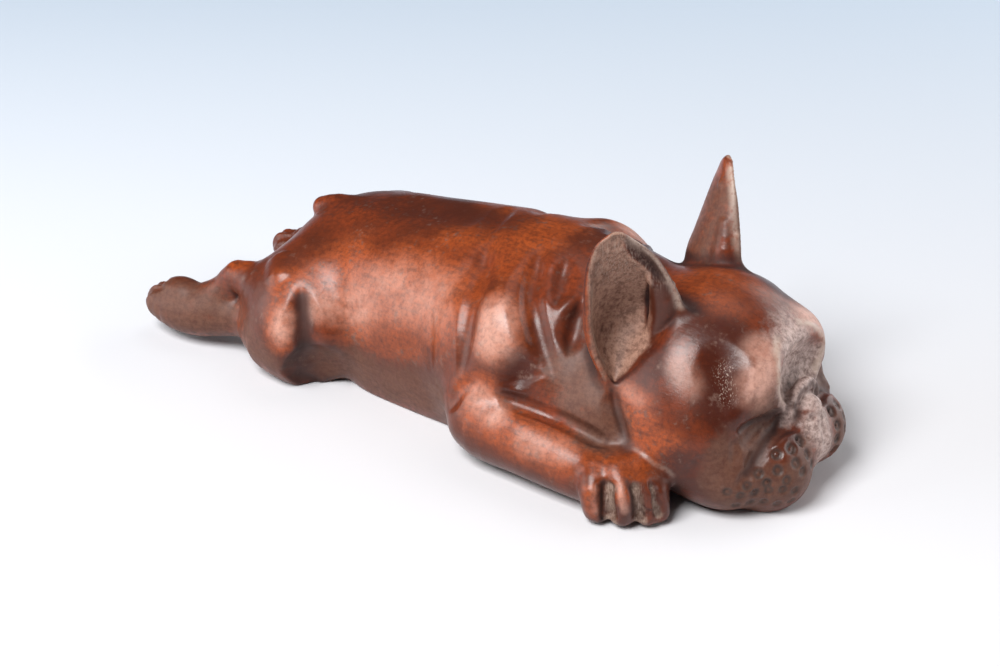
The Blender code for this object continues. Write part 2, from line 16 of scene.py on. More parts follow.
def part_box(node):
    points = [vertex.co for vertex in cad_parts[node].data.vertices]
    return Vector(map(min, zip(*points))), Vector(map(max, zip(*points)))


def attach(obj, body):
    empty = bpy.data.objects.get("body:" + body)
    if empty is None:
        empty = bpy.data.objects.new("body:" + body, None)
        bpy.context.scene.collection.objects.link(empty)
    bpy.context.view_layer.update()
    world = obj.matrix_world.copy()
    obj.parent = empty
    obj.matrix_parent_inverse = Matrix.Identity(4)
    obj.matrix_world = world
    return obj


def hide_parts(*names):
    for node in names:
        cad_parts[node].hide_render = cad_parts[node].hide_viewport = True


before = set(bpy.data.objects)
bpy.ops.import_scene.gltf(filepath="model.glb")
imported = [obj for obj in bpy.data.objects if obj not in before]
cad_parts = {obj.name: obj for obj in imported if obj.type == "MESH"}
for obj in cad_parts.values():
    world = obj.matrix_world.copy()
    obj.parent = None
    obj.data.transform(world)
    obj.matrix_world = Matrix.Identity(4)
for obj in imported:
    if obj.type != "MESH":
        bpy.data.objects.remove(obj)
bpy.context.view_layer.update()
dog_low, dog_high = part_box("dog_carving")

# The layout, in parts
PARTS_LONG = 106.0
PART = (dog_high[1] - dog_low[1]) / PARTS_LONG
LOW = (-32.0, -57.0, -2.5)
HIGH = (32.0, 59.0, 42.0)
FAR = 9.0                 # distances are only followed this far from the surface
CELL = 0.25               # grid of the field
TRIANGLES = 190000

# The solid's own sizes, in metres
EAR_WALL = 0.00125
FOLD_DEPTH = 0.0011
TOE_GOUGE_DEPTH = 0.0016
LID_DEPTH = 0.0010

RIGHT, LEFT = -1, 1

TRUNK_POWER = 2.3
TRUNK_ROWS = [            # y, x of the middle, half width, lowest z, widest z, highest z
    (-30.0, 0, 12.0, 3.0, 11, 23.5),
    (-22.0, 0, 14.5, 0.0, 9, 25.0),
    (-13.0, 0, 16.6, -5.0, 8, 26.5),
    (-4.0, 0, 17.0, -6.0, 8, 26.5),
    (6.0, 0, 16.4, -7.0, 8, 25.3),
    (14.0, 0, 15.6, -7.0, 8, 24.2),
    (20.0, 0, 14.4, -4.0, 9, 23.5),
    (26.0, 0, 13.2, -1.5, 10, 22.2),
    (30.0, 0, 11.6, -0.5, 10, 20.4),
    (33.0, 0, 9.0, 1.0, 10, 17.8),
    (35.2, 0, 5.6, 4.0, 10, 14.8),
    (36.4, 0, 2.0, 8.0, 10, 12.0)]

EAR_ROOT = (12.6, -30.0, 20.0)   # middle of the open side of the left ear
EAR_TURN = math.radians(41.3)    # how far the open side faces outwards
EAR_ROWS = [              # height over the root, shift forwards, half width, depth of the cup
    (-4.8, -2.8, 0.7, 0.8),
    (-3.5, -2.5, 1.9, 2.2),
    (-1.9, -2.2, 3.0, 3.6),
    (0.0, -1.9, 4.1, 5.0),
    (2.1, -1.2, 5.4, 6.0),
    (4.3, -0.5, 6.5, 5.9),
    (6.5, -0.5, 6.6, 5.1),
    (9.7, -1.3, 5.9, 3.8),
    (12.7, -2.1, 4.9, 2.6),
    (14.6, -2.7, 3.8, 1.8),
    (15.9, -3.1, 2.6, 1.4),
    (16.8, -3.1, 1.4, 1.1),
    (17.2, -3.1, 0.7, 0.8)]


def smooth_min(a, b, k):
    """The nearer of two distances, rounded over where they are within k."""
    share = np.clip(0.5 + 0.5 * (b - a) / k, 0.0, 1.0)
    return b + (a - b) * share - k * share * (1.0 - share)


def smooth_curve(points, spacing):
    """Rows along a curve through the given rows, whose first three numbers are a place."""
    p = np.array(points, float)
    p = np.vstack([2 * p[0] - p[1], p, 2 * p[-1] - p[-2]])
    rows = []
    for a, b, c, d in zip(p, p[1:], p[2:], p[3:]):
        count = max(1, int(np.ceil(np.linalg.norm((c - b)[:3]) / spacing)))
        t = (np.arange(count) / count)[:, None]
        rows.append(0.5 * (2 * b + (c - a) * t + (2 * a - 5 * b + 4 * c - d) * t**2
                           + (3 * b - a - 3 * c + d) * t**3))
    rows.append(p[-2][None])
    return np.vstack(rows)


def columns(rows, spacing, at, picked):
    """Columns of a table of rows, read at values of its first column, smooth between the rows."""
    path = smooth_curve(rows, spacing)
    path = path[np.argsort(path[:, 0])]
    return [np.interp(at, path[:, 0], path[:, i]) for i in picked]


def corner(steps):
    """Slices for one corner of every cell of a grid. A step of None takes the whole axis."""
    return tuple(slice(None) if step is None else slice(step, step - 1 or None) for step in steps)


def on(side, points):
    """Points given for the right side of the dog, mirrored for its left side."""
    return [(-side * point[0],) + tuple(point[1:]) for point in points]


class Clay:
    """A distance field on a grid of cells, negative inside the wood."""

    def __init__(self, cell):
        self.cell = cell
        self.low = np.array(LOW)
        counts = np.ceil((np.array(HIGH) - self.low) / cell).astype(int) + 1
        self.axes = [(LOW[i] + cell * np.arange(counts[i])).astype(np.float32) for i in range(3)]
        self.field = np.full(counts, FAR, np.float32)

    def window(self, low, high):
        """The slices of the grid between two corners, with their coordinates."""
        cut, grid = [], []
        for i, axis in enumerate(self.axes):
            first = max(int(np.searchsorted(axis, low[i])) - 1, 0)
            last = min(int(np.searchsorted(axis, high[i])) + 1, len(axis))
            cut.append(slice(first, last))
            shape = [1, 1, 1]
            shape[i] = last - first
            grid.append(axis[first:last].reshape(shape))
        return tuple(cut), grid

    def join(self, cut, shape, k):
        self.field[cut] = smooth_min(self.field[cut], shape, k)

    def carve(self, cut, shape, k):
        self.field[cut] = -smooth_min(-self.field[cut], shape, k)

    def ball(self, centre, radii, k=2.0, turn=0.0, hollow=False):
        """An egg shape, turned about Z by an angle in degrees, added or cut away."""
        reach = max(radii) + FAR * 0.6 + k
        cut, grid = self.window(np.array(centre) - reach, np.array(centre) + reach)
        x, y, z = (g - c for g, c in zip(grid, centre))
        cos, sin = math.cos(math.radians(turn)), math.sin(math.radians(turn))
        local = (x * cos + y * sin, y * cos - x * sin, z)
        ratio = np.sqrt(sum((v / r)**2 for v, r in zip(local, radii)))
        steep = np.sqrt(sum((v / r**2)**2 for v, r in zip(local, radii)))
        shape = (ratio * (ratio - 1.0) / np.maximum(steep, 1e-6)).astype(np.float32)
        (self.carve if hollow else self.join)(cut, shape, k)

    def limb(self, rows, k=2.0):
        """A round limb along a curve. Each row is x, y, z, radius."""
        path = smooth_curve(rows, 2.0)
        reach = path[:, 3].max() + FAR * 0.6 + k
        cut, grid = self.window(path[:, :3].min(0) - reach, path[:, :3].max(0) + reach)
        shape = FAR
        for a, b in zip(path, path[1:]):
            run = b[:3] - a[:3]
            offset = [g - v for g, v in zip(grid, a[:3])]
            t = np.clip(sum(v * w for v, w in zip(offset, run)) / max(run @ run, 1e-9), 0, 1)
            away = np.sqrt(sum((v - t * w)**2 for v, w in zip(offset, run)))
            shape = np.minimum(shape, away - (a[3] + t * (b[3] - a[3])))
        self.join(cut, shape.astype(np.float32), k)

    def loft(self, rows, power, k):
        """A trunk of rounded cross sections along Y, in rows as in TRUNK_ROWS."""
        rows = np.array(rows, float)
        wide = rows[:, 2].max() + FAR
        cut, (x, y, z) = self.window((-wide, rows[0, 0] - FAR, rows[:, 3].min() - FAR),
                                     (wide, rows[-1, 0] + FAR, rows[:, 5].max() + FAR))
        read = columns(rows, 1.0, y, range(1, 6))
        middle, half, low, widest, high = (column.astype(np.float32) for column in read)
        half = np.maximum(half, 0.3)
        reach = np.where(z > widest, np.maximum(high - widest, 0.3), np.maximum(widest - low, 0.3))
        ring = ((np.abs(x - middle) / half)**power + (np.abs(z - widest) / reach)**power)**(1 / power)
        ends = np.maximum(y - rows[-1, 0], rows[0, 0] - y)
        shape = np.maximum((ring - 1) * 2 / (1 / half + 1 / reach), ends)
        self.join(cut, shape.astype(np.float32), k)

    def cup(self, root, across, out, rows, wall, k, rim):
        """An upright half-round cup, open toward out, in rows as in EAR_ROWS."""
        rows = np.array(rows, float)
        wide = rows[:, 2].max() + FAR
        cut, grid = self.window((root[0] - wide, root[1] - wide, root[2] + rows[0, 0] - FAR),
                                (root[0] + wide, root[1] + wide, root[2] + rows[-1, 0] + FAR))
        x, y, z = (g - v for g, v in zip(grid, root))
        u = x * across[0] + y * across[1]
        n = x * out[0] + y * out[1]
        shift, half, depth = (column.astype(np.float32) for column in columns(rows, 0.4, z, (1, 2, 3)))
        half, depth = np.maximum(half, 0.15), np.maximum(depth, 0.15)
        ends = np.maximum(z - rows[-1, 0], rows[0, 0] - z)
        outer = self.half_round(u - shift, n, half, depth)
        inner_half = np.maximum(half - wall, 0.05)
        inner_depth = np.maximum(depth - np.minimum(wall, 0.7 * depth), 0.05)
        inner = self.half_round(u - shift, n, inner_half, inner_depth)
        inner = np.where(half - wall < 0.06, FAR, inner)
        shell = np.maximum(outer, ends)
        for away in (inner, -n):
            shell = -smooth_min(-shell, away, rim)
        self.join(cut, shell.astype(np.float32), k)
        self.carve(cut, np.maximum(inner, ends).astype(np.float32), rim)

    @staticmethod
    def half_round(u, n, half, depth):
        return (np.sqrt((u / half)**2 + (n / depth)**2) - 1) * 1.6 / (1 / half + 1 / depth)

    def even_out(self):
        """Makes the field grow by one a part near the surface."""
        steep = sum(np.gradient(self.field, self.cell, axis=i)**2 for i in range(3))
        self.field /= np.clip(np.sqrt(steep), 0.35, 3.0)

    def sample(self, points):
        """The field at some places, between the grid's own values."""
        g = (points - self.low) / self.cell
        g = np.clip(g, 0, np.array(self.field.shape) - 1.001)
        i = g.astype(int)
        t = g - i
        total = 0
        for corner in np.ndindex(2, 2, 2):
            share = np.prod(np.where(corner, t, 1 - t), axis=1)
            total = total + share * self.field[tuple((i + corner).T)]
        return total

    def press(self, points):
        """Moves places onto the surface, down the slope of the field."""
        p = np.array(points, float)
        probes = np.eye(3) * self.cell
        for _ in range(8):
            slope = np.stack([self.sample(p + e) - self.sample(p - e) for e in probes], 1) / (2 * self.cell)
            steep = np.maximum((slope**2).sum(1), 0.04)
            move = (self.sample(p) / steep)[:, None] * slope
            size = np.linalg.norm(move, axis=1, keepdims=True)
            p -= move * np.minimum(1, 1.5 / np.maximum(size, 1e-9))
        return p

    def stroke(self, points, width, depth, edge=1.6, ends=0.25, spacing=1.0):
        """A gouge along the surface, or a raised roll where the depth is negative."""
        p = self.press(smooth_curve(points, spacing))
        cut, grid = self.window(p.min(0) - width - 0.5, p.max(0) + width + 0.5)
        field = self.field[cut]
        near = np.nonzero(np.abs(field) < 2.2 + abs(depth))
        q = np.stack([grid[i].ravel()[near[i]] for i in range(3)], 1)
        best = np.full(len(q), FAR)
        along = np.zeros(len(q))
        for i, (a, b) in enumerate(zip(p, p[1:])):
            run = b - a
            t = np.clip((q - a) @ run / max(run @ run, 1e-9), 0, 1)
            away = np.linalg.norm(q - a - t[:, None] * run, axis=1)
            closer = away < best
            best[closer] = away[closer]
            along[closer] = ((i + t) / (len(p) - 1))[closer]
        fade = np.clip(np.minimum(along, 1 - along) / ends, 0, 1)
        fade = fade * fade * (3 - 2 * fade)
        s = np.clip(best / (width * (0.4 + 0.6 * fade)), 0, 1)
        field[near] += (depth * fade * (1 - s)**edge * (1 + edge * s)).astype(np.float32)

    def plane_base(self):
        """Cuts everything below the floor away."""
        self.field = np.maximum(self.field, -self.axes[2].reshape(1, 1, -1))

    def close_pinches(self):
        """Fills grid places until the wood nowhere touches itself along an edge or at a point."""
        wood = -0.02 * self.cell
        planes = (lambda a, b: (a, b, None), lambda a, b: (a, None, b), lambda a, b: (None, a, b))
        filled, before = 1, 0
        while filled > before:
            before = np.count_nonzero(self.field < 0)
            for plane in planes:
                c00, c10, c01, c11 = (corner(plane(a, b)) for b in (0, 1) for a in (0, 1))
                inside = self.field < 0
                diagonal = (inside[c00] == inside[c11]) & (inside[c10] == inside[c01])
                self.field[c10][diagonal & inside[c00] & ~inside[c10]] = wood
                self.field[c00][diagonal & inside[c10] & ~inside[c00]] = wood
            for a in ((0, 0, 0), (1, 0, 0), (0, 1, 0), (0, 0, 1)):
                inside = self.field < 0
                count = sum(inside[corner(c)].astype(np.int8) for c in np.ndindex(2, 2, 2))
                start, end = corner(a), corner((1 - a[0], 1 - a[1], 1 - a[2]))
                tips = (count == 2) & inside[start] & inside[end]
                self.field[corner((1 - a[0], a[1], a[2]))][tips] = wood
                self.field[corner((1 - a[0], 1 - a[1], a[2]))][tips] = wood
                self.field[start][(count == 6) & ~inside[start] & ~inside[end]] = wood
            filled = np.count_nonzero(self.field < 0)


def trunk(clay):
    clay.loft(TRUNK_ROWS, TRUNK_POWER, k=2.0)
    for side in (RIGHT, LEFT):
        throat = (side * 12.0, -25.5, 8.0)
        shoulder = (side * 12.5, -10.0, 11.8)
        haunch = (side * 11.2, 25.8, 9.4)
        thigh = (side * 15.2, 24.6, 7.0)
        clay.ball(throat, (6.8, 8.5, 8.8), k=4)
        clay.ball(shoulder, (7.5, 10.5, 11.2), k=4)
        clay.ball(haunch, (8.2, 9.6, 9.2), k=4)
        clay.ball(thigh, (6.6, 8.2, 8.2), k=3)
    stub_tail = [(0, 25.0, 20.0, 2.2), (0, 29.0, 20.0, 2.1), (0, 32.0, 19.3, 1.7)]
    clay.limb(stub_tail, k=1.2)


def front_legs(clay):
    forearm = [(-14.5, -9.0, 9.5, 5.5), (-17.6, -10.2, 6.0, 5.5), (-18.9, -17.6, 5.4, 4.8),
               (-19.7, -25.6, 4.9, 4.2), (-19.6, -31.0, 4.6, 4.0)]
    toes = [[(-21.2, -29.8, 6.2, 2.2), (-23.4, -30.9, 4.8, 2.0), (-22.9, -31.2, 2.0, 1.9)],
            [(-20.4, -32.6, 6.7, 2.0), (-22.3, -34.4, 5.0, 1.8), (-21.9, -34.4, 1.9, 1.7)],
            [(-19.0, -34.4, 6.7, 1.6), (-20.3, -36.9, 5.0, 1.4), (-20.0, -37.0, 1.7, 1.5)],
            [(-17.8, -34.8, 6.2, 1.6), (-18.7, -37.6, 4.8, 1.3), (-18.5, -37.9, 1.6, 1.4)]]
    for side in (RIGHT, LEFT):
        clay.limb(on(side, forearm), k=2)
        clay.ball((side * 19.4, -33.2, 4.2), (4.2, 4.6, 4.3), k=1.5, turn=side * 35)
        for toe in toes:
            clay.limb(on(side, toe), k=0.7)


def hind_legs(clay):
    """Stretched back with the soles up. The left leg lies nearer the middle and is slimmer."""
    right_leg = [(-15.4, 29.0, 5.2, 4.9), (-14.2, 34.6, 5.6, 3.3), (-14.6, 38.5, 5.4, 3.3),
                 (-15.8, 43.5, 4.8, 3.7), (-16.1, 47.5, 4.7, 3.7), (-16.2, 50.6, 4.8, 3.0)]
    right_hock = [(-13.8, 30.6, 11.0, 4.0), (-13.8, 33.8, 11.6, 3.0), (-14.2, 37.0, 12.2, 2.3),
                  (-14.4, 39.4, 9.8, 2.1), (-14.8, 42.0, 7.4, 2.4)]
    left_leg = [(16.0, 29.0, 5.2, 4.9), (14.0, 36.0, 4.5, 4.3), (12.5, 43.0, 3.3, 3.5),
                (11.7, 47.0, 3.5, 3.1), (11.4, 49.6, 3.6, 2.6)]
    left_hock = [(14.4, 31.0, 10.2, 3.4), (12.9, 36.6, 10.5, 2.7), (12.0, 42.0, 6.6, 2.6)]
    for leg, hock in ((right_leg, right_hock), (left_leg, left_hock)):
        clay.limb(leg, k=2)
        clay.limb(hock, k=2.2)
    right_sole = (-15.9, 47.0, 7.6)
    left_sole = (11.6, 44.6, 6.0)
    for sole in (right_sole, left_sole):
        clay.ball(sole, (2.4, 3.4, 1.8), k=0.8)


def head(clay):
    clay.ball((0, -34.5, 14.5), (15.0, 12.5, 12.0), k=3)      # skull
    clay.ball((0, -40.6, 15.4), (10.3, 7.4, 7.4), k=4)        # forehead
    clay.ball((0, -41.5, 5.6), (11.5, 8.6, 5.8), k=3)         # chin
    for side in (RIGHT, LEFT):
        clay.ball((side * 10.5, -36.5, 9.8), (7.0, 9.0, 8.6), k=3)     # cheek
        clay.ball((side * 9.2, -41.6, 5.4), (6.2, 7.2, 5.8), k=2)      # jowl
        clay.ball((side * 5.4, -42.8, 17.6), (5.0, 4.8, 4.5), k=2)     # brow
    clay.ball((-5.4, -45.4, 5.0), (6.2, 7.0, 6.6), k=1)       # flew of the upper lip, right
    clay.ball((5.0, -45.2, 6.1), (6.1, 6.9, 5.9), k=1)        # and left, which hangs less
    clay.even_out()


def muzzle(clay):
    """The flat hollow between the brows, the rolled fold over the nose, and the nose."""
    clay.ball((0, -50.6, 17.6), (7.8, 5.2, 5.4), k=0.4, hollow=True)
    clay.ball((0, -52.6, 13.0), (6.4, 5.0, 4.0), k=0.6, hollow=True)
    clay.ball((0, -45.8, 7.0), (5.2, 6.5, 4.8), k=1.5)
    clay.ball((0, -46.2, 9.5), (4.6, 5.0, 4.0), k=1.5)
    roll = [(-3.4, -48.2, 10.8, 0.8), (-3.3, -48.0, 12.8, 0.9), (-2.1, -47.8, 14.4, 0.95)]
    clay.limb(roll + [(0, -47.8, 14.8, 1.0)] + on(LEFT, roll)[::-1], k=0.5)
    clay.ball((0, -48.7, 12.0), (2.2, 2.2, 1.8), k=0.6)


def ear_frame(side):
    """The root of an ear, and the level directions across its open side and out of it."""
    cos, sin = math.cos(EAR_TURN), math.sin(EAR_TURN)
    root = np.array([side * EAR_ROOT[0], EAR_ROOT[1], EAR_ROOT[2]])
    return root, np.array([-side * cos, -sin, 0]), np.array([side * sin, -cos, 0])


def in_ear(side, rows):
    """Rows given as forwards, height and outwards in an ear, with those three turned into a place."""
    root, across, out = ear_frame(side)
    return [tuple(root + across * row[0] + out * row[2] + (0, 0, row[1])) + tuple(row[3:]) for row in rows]


def ears(clay):
    """Two upright cups, each with a ramp inside and a fold beside its front rim."""
    ramp = [(2.9, 9.8, -1.7, 1.1), (4.1, 6.5, -1.8, 1.9), (4.4, 3.5, -2.0, 2.1), (3.7, 0.6, -1.9, 2.0),
            (2.2, -1.6, -1.6, 1.6), (0.4, -3.6, -1.2, 1.1)]
    fold = [(-2.0, 15.1, -1.4), (-0.9, 13.3, -1.6), (0.9, 11.7, -1.8), (1.9, 10.6, -1.8), (3.1, 9.0, -1.6),
            (4.5, 7.7, -1.4)]
    for side in (RIGHT, LEFT):
        root, across, out = ear_frame(side)
        clay.cup(root, across, out, EAR_ROWS, EAR_WALL / PART, k=1.8, rim=0.5)
        clay.limb(in_ear(side, ramp), k=0.4)
        clay.stroke(in_ear(side, fold), width=0.8, depth=-0.5, ends=0.2)


def face(clay):
    """The closed eyes, the edges of the flews and cheeks, the nostrils and the cleft of the lip."""
    temple = [(-8.8, -38.6, 23.4), (-10.4, -41.2, 20.8), (-11.6, -42.9, 17.6), (-12.8, -43.2, 14.4)]
    brow_edge = [(-6.2, -46.4, 15.0), (-8.6, -45.3, 15.0), (-11.0, -44.2, 14.8), (-13.4, -43.4, 13.8)]
    lid_hollow = [(-5.6, -47.2, 13.0), (-8.0, -46.3, 12.5), (-10.0, -45.7, 11.6), (-12.0, -45.3, 10.6)]
    lid_top = [(-5.2, -47.5, 13.9), (-7.6, -46.6, 13.7), (-9.4, -45.6, 13.2), (-12.2, -44.7, 12.6)]
    lid_slit = [(-5.0, -47.4, 13.4), (-5.6, -47.3, 11.8), (-7.8, -47.0, 10.9), (-9.9, -46.6, 9.5),
                (-12.2, -46.2, 7.6)]
    lid_corner = [(-12.4, -44.5, 12.2), (-12.6, -45.0, 10.2), (-13.4, -45.2, 8.4)]
    flew_edge = [(-1.8, -49.4, 11.0), (-4.6, -48.3, 11.2), (-7.3, -47.7, 10.4), (-9.7, -47.2, 8.9),
                 (-11.9, -46.6, 7.2), (-13.6, -45.8, 5.6)]
    cheek_crease = [(-15.6, -42.4, 10.4), (-16.0, -41.5, 8.6), (-16.2, -40.2, 6.8)]
    nostril = [(-0.9, -50.8, 11.8), (-1.9, -50.2, 11.6)]
    lip_cleft = [(0, -50.6, 11.0), (0, -50.9, 8.0), (0, -50.6, 5.0), (0, -50.0, 1.5)]
    lid_depth = LID_DEPTH / PART
    for side in (RIGHT, LEFT):
        clay.stroke(on(side, temple), width=4.0, depth=0.9, ends=0.45)
        clay.stroke(on(side, brow_edge), width=2.4, depth=-0.4)
        clay.stroke(on(side, lid_hollow), width=2.2, depth=0.8)
        clay.stroke(on(side, lid_top), width=0.9, depth=lid_depth, edge=1.2, ends=0.15)
        clay.stroke(on(side, lid_slit), width=0.8, depth=lid_depth, edge=1.2, ends=0.12)
        clay.stroke(on(side, lid_corner), width=0.9, depth=0.35)
        clay.stroke(on(side, flew_edge), width=1.1, depth=0.8, edge=1.3, ends=0.15)
        clay.stroke(on(side, cheek_crease), width=1.2, depth=0.4)
        clay.stroke(on(side, nostril), width=0.8, depth=0.6, ends=0.3, spacing=0.5)
    clay.stroke(lip_cleft, width=1.0, depth=0.5, ends=0.15)


def shoulder_folds(clay):
    """The crease that runs over the back behind the shoulders, and the loose skin of the neck."""
    crease = [(-3.0, -4.2, 25.9), (-4.9, -3.2, 25.3), (-7.3, -3.0, 24.8), (-10.9, -4.4, 23.4),
              (-14.6, -5.8, 21.4), (-17.8, -7.0, 17.6), (-19.3, -7.4, 13.0), (-20.0, -7.2, 9.6)]
    over_the_back = [(6.4, 1.9, 24.6), (1.8, 0.7, 25.1), (-1.5, -0.1, 24.8), (-4.4, -0.9, 24.7),
                     (-7.0, -1.8, 24.4)]
    neck_fold = [(-3.4, -10.4, 26.3), (-7.0, -11.0, 25.4), (-10.3, -12.5, 24.0), (-12.9, -14.1, 22.2),
                 (-14.4, -15.6, 20.3), (-15.4, -17.3, 18.2), (-16.0, -18.8, 16.4), (-16.6, -20.4, 13.8)]
    wedge = [(-4.2, -14.2, 25.8), (-7.4, -15.2, 24.4), (-9.6, -16.2, 23.4), (-12.2, -17.4, 22.0)]
    nape_fold = [(-8.6, -19.2, 23.2), (-11.0, -20.0, 20.6), (-12.8, -20.4, 18.8), (-14.6, -21.0, 16.6)]
    side_fold = [(-16.8, -15.8, 19.0), (-17.5, -15.6, 16.4), (-18.3, -16.0, 14.0), (-18.4, -17.0, 12.2)]
    ridges = [[(-5.6, -13.2, 25.4), (-9.6, -14.4, 24.0), (-12.6, -16.2, 22.0), (-14.0, -17.6, 19.8)],
              [(-7.4, -17.4, 24.0), (-10.4, -18.4, 22.2), (-12.8, -18.8, 20.4)]]
    fold_depth = FOLD_DEPTH / PART
    clay.stroke(over_the_back, width=2.0, depth=0.6 * fold_depth, ends=0.3)
    folds = [(crease, 4.0, 0.7, 0.7), (neck_fold, 3.8, 1.0, 0.9), (wedge, 2.6, 0.7, 0.4),
             (nape_fold, 2.8, 0.8, 0.6), (side_fold, 3.8, 0.9, 0.2)]
    for side in (RIGHT, LEFT):
        for line, width, broad, narrow in folds:
            clay.stroke(on(side, line), width, depth=broad * fold_depth, ends=0.4)
            clay.stroke(on(side, line), 0.5 * width, depth=narrow * fold_depth, ends=0.35)
        for ridge in ridges:
            clay.stroke(on(side, ridge), width=2.0, depth=-0.4 * fold_depth, ends=0.5)


CHEEK_BACK = [(-15.3, -28.2, 15.9), (-15.5, -29.0, 13.9), (-16.6, -30.8, 11.3), (-18.2, -32.6, 9.2)]
UPPER_LID = [(-5.5, -47.3, 13.8), (-5.8, -47.0, 13.2), (-7.4, -45.8, 12.9), (-8.9, -45.1, 13.0),
             (-10.6, -44.7, 12.9)]
EYE_SLIT = [(-5.2, -47.3, 13.7), (-4.8, -46.9, 11.7), (-6.2, -46.9, 10.8), (-7.8, -46.9, 10.1),
            (-9.3, -47.0, 9.4), (-10.3, -46.8, 8.6), (-12.0, -46.6, 7.3)]


def limb_creases(clay):
    """Where the forearm, the elbow, the cheek and the thigh meet the body."""
    forearm_top = [(-20.0, -12.6, 11.8), (-19.3, -16.4, 10.8), (-18.8, -20.0, 10.3), (-18.7, -24.0, 10.0),
                   (-18.8, -27.6, 9.4), (-19.0, -30.6, 8.9)]
    elbow = [(-19.6, -10.6, 13.2), (-20.6, -8.0, 10.6), (-21.0, -7.2, 7.0)]
    thigh = [(-16.2, 23.2, 16.2), (-17.6, 21.9, 14.1), (-18.9, 20.7, 10.2), (-19.4, 20.2, 6.5),
             (-19.0, 19.0, 3.0), (-17.4, 18.6, -1.5)]
    ribs = [[(-14.2, 1.8, 18.7), (-16.7, -0.2, 14.2), (-17.6, -1.3, 7.8)],
            [(-15.0, -1.7, 20.0), (-18.0, -4.1, 16.0), (-19.7, -5.5, 9.5)]]
    for side in (RIGHT, LEFT):
        clay.ball((side * 18.6, 17.2, 2.4), (3.4, 4.2, 5.2), k=2, hollow=True)      # below the flank
        clay.stroke(on(side, forearm_top), width=1.5, depth=1.1, ends=0.15)
        clay.stroke(on(side, elbow), width=1.6, depth=0.7)
        clay.stroke(on(side, CHEEK_BACK), width=2.4, depth=0.5, ends=0.4)
        clay.stroke(on(side, CHEEK_BACK), width=0.8, depth=0.5, ends=0.3)
        clay.stroke(on(side, thigh), width=3.2, depth=1.3, ends=0.35)
        clay.stroke(on(side, thigh), width=1.4, depth=0.6, ends=0.3)
        for rib in ribs:
            clay.stroke(on(side, rib), width=1.6, depth=0.3, ends=0.4)
    rump_roll = [(-12.8, 29.6, 18.0), (-16.0, 27.6, 16.4), (-17.8, 26.2, 14.6)]
    spine = [(0, 21.0, 23.0), (-0.6, 14.0, 23.6), (-0.8, 6.0, 24.8), (-0.6, 0, 26.0)]
    clay.stroke(rump_roll, width=2.6, depth=-0.6)
    clay.stroke(spine, width=5.5, depth=0.6)


def toe_gouges(clay):
    front = [(1.6, 1.0, [(-22.8, -32.4, 7.0), (-23.5, -33.2, 4.3), (-23.5, -33.6, 1.2)]),
             (1.2, 0.9, [(-21.3, -35.2, 6.9), (-21.7, -36.4, 4.6), (-21.4, -36.8, 1.4)]),
             (0.8, 0.7, [(-19.7, -36.8, 6.6), (-20.3, -37.9, 4.6), (-19.9, -38.6, 1.4)])]
    for side in (RIGHT, LEFT):
        for width, share, points in front:
            clay.stroke(on(side, points), width, share * TOE_GOUGE_DEPTH / PART, edge=2.0, ends=0.15)
    for x, y, z in ((-16.2, 48.6, 8.4), (11.4, 46.6, 6.6)):
        for shift in (-1.5, 0, 1.5):
            gap = [(x + shift, y, z), (x + shift, y + 3.1, z - 1.4), (x + shift, y + 5.0, z - 3.8)]
            clay.stroke(gap, width=0.8, depth=0.6, ends=0.3)


def spaced(points, count):
    """A number of places at even steps along a curve through the given points."""
    path = smooth_curve(points, 0.2)
    along = np.concatenate([[0], np.cumsum(np.linalg.norm(np.diff(path, axis=0), axis=1))])
    steps = np.linspace(0, along[-1], count)
    return np.stack([np.interp(steps, along, path[:, axis]) for axis in range(3)], 1)


def ring_punch(clay, centre, radius, depth):
    """A round punch mark: a ring pressed in, a shallower middle and a slight burr outside."""
    centre = clay.press(np.array([centre]))[0]
    reach = 2.2 * radius
    cut, grid = clay.window(centre - reach, centre + reach)
    away = np.sqrt(sum((g - c)**2 for g, c in zip(grid, centre))) / radius
    ring = np.exp(-((away - 0.8) / 0.28)**2)
    middle = 0.35 * np.exp(-(away / 0.7)**4)
    burr = 0.12 * np.exp(-((away - 1.45) / 0.25)**2)
    clay.field[cut] += (depth * (ring + middle - burr)).astype(np.float32)


def whisker_marks():
    """The place and radius of each punch mark on the right flew."""
    rows = [(3, 0.72, [(-4.4, -50.3, 9.6), (-7.1, -50.1, 9.5), (-8.6, -49.1, 9.3)]),
            (4, 0.66, [(-4.4, -51.6, 8.0), (-7.9, -50.9, 7.8), (-9.3, -49.9, 7.5), (-11.4, -48.0, 7.6)]),
            (5, 0.60, [(-3.8, -52.0, 6.4), (-6.4, -51.9, 6.6), (-8.4, -51.4, 6.2), (-10.6, -49.2, 6.0),
                       (-12.8, -47.4, 6.0)]),
            (6, 0.56, [(-7.8, -51.8, 4.3), (-9.4, -50.5, 4.9), (-11.4, -48.2, 4.8), (-13.3, -46.7, 4.6),
                       (-14.4, -45.4, 5.2)]),
            (5, 0.52, [(-7.6, -51.2, 2.5), (-9.2, -49.7, 2.6), (-11.2, -48.0, 3.1), (-13.0, -46.0, 2.8)])]
    return [(place, radius) for count, radius, line in rows for place in spaced(line, count)]


def whiskers(clay):
    """Punch marks over both flews, small ones on the nose bridge, and a deep one low on the left flew."""
    for side in (RIGHT, LEFT):
        for place, radius in whisker_marks():
            ring_punch(clay, place * (-side, 1, 1), radius, depth=0.6 * radius)
    for place in ((-2.9, -50.6, 9.7), (-1.0, -50.4, 11.3), (-1.1, -49.9, 12.9)):
        ring_punch(clay, place, radius=0.34, depth=0.4)
    ring_punch(clay, (3.8, -51.4, 4.4), radius=0.8, depth=0.9)


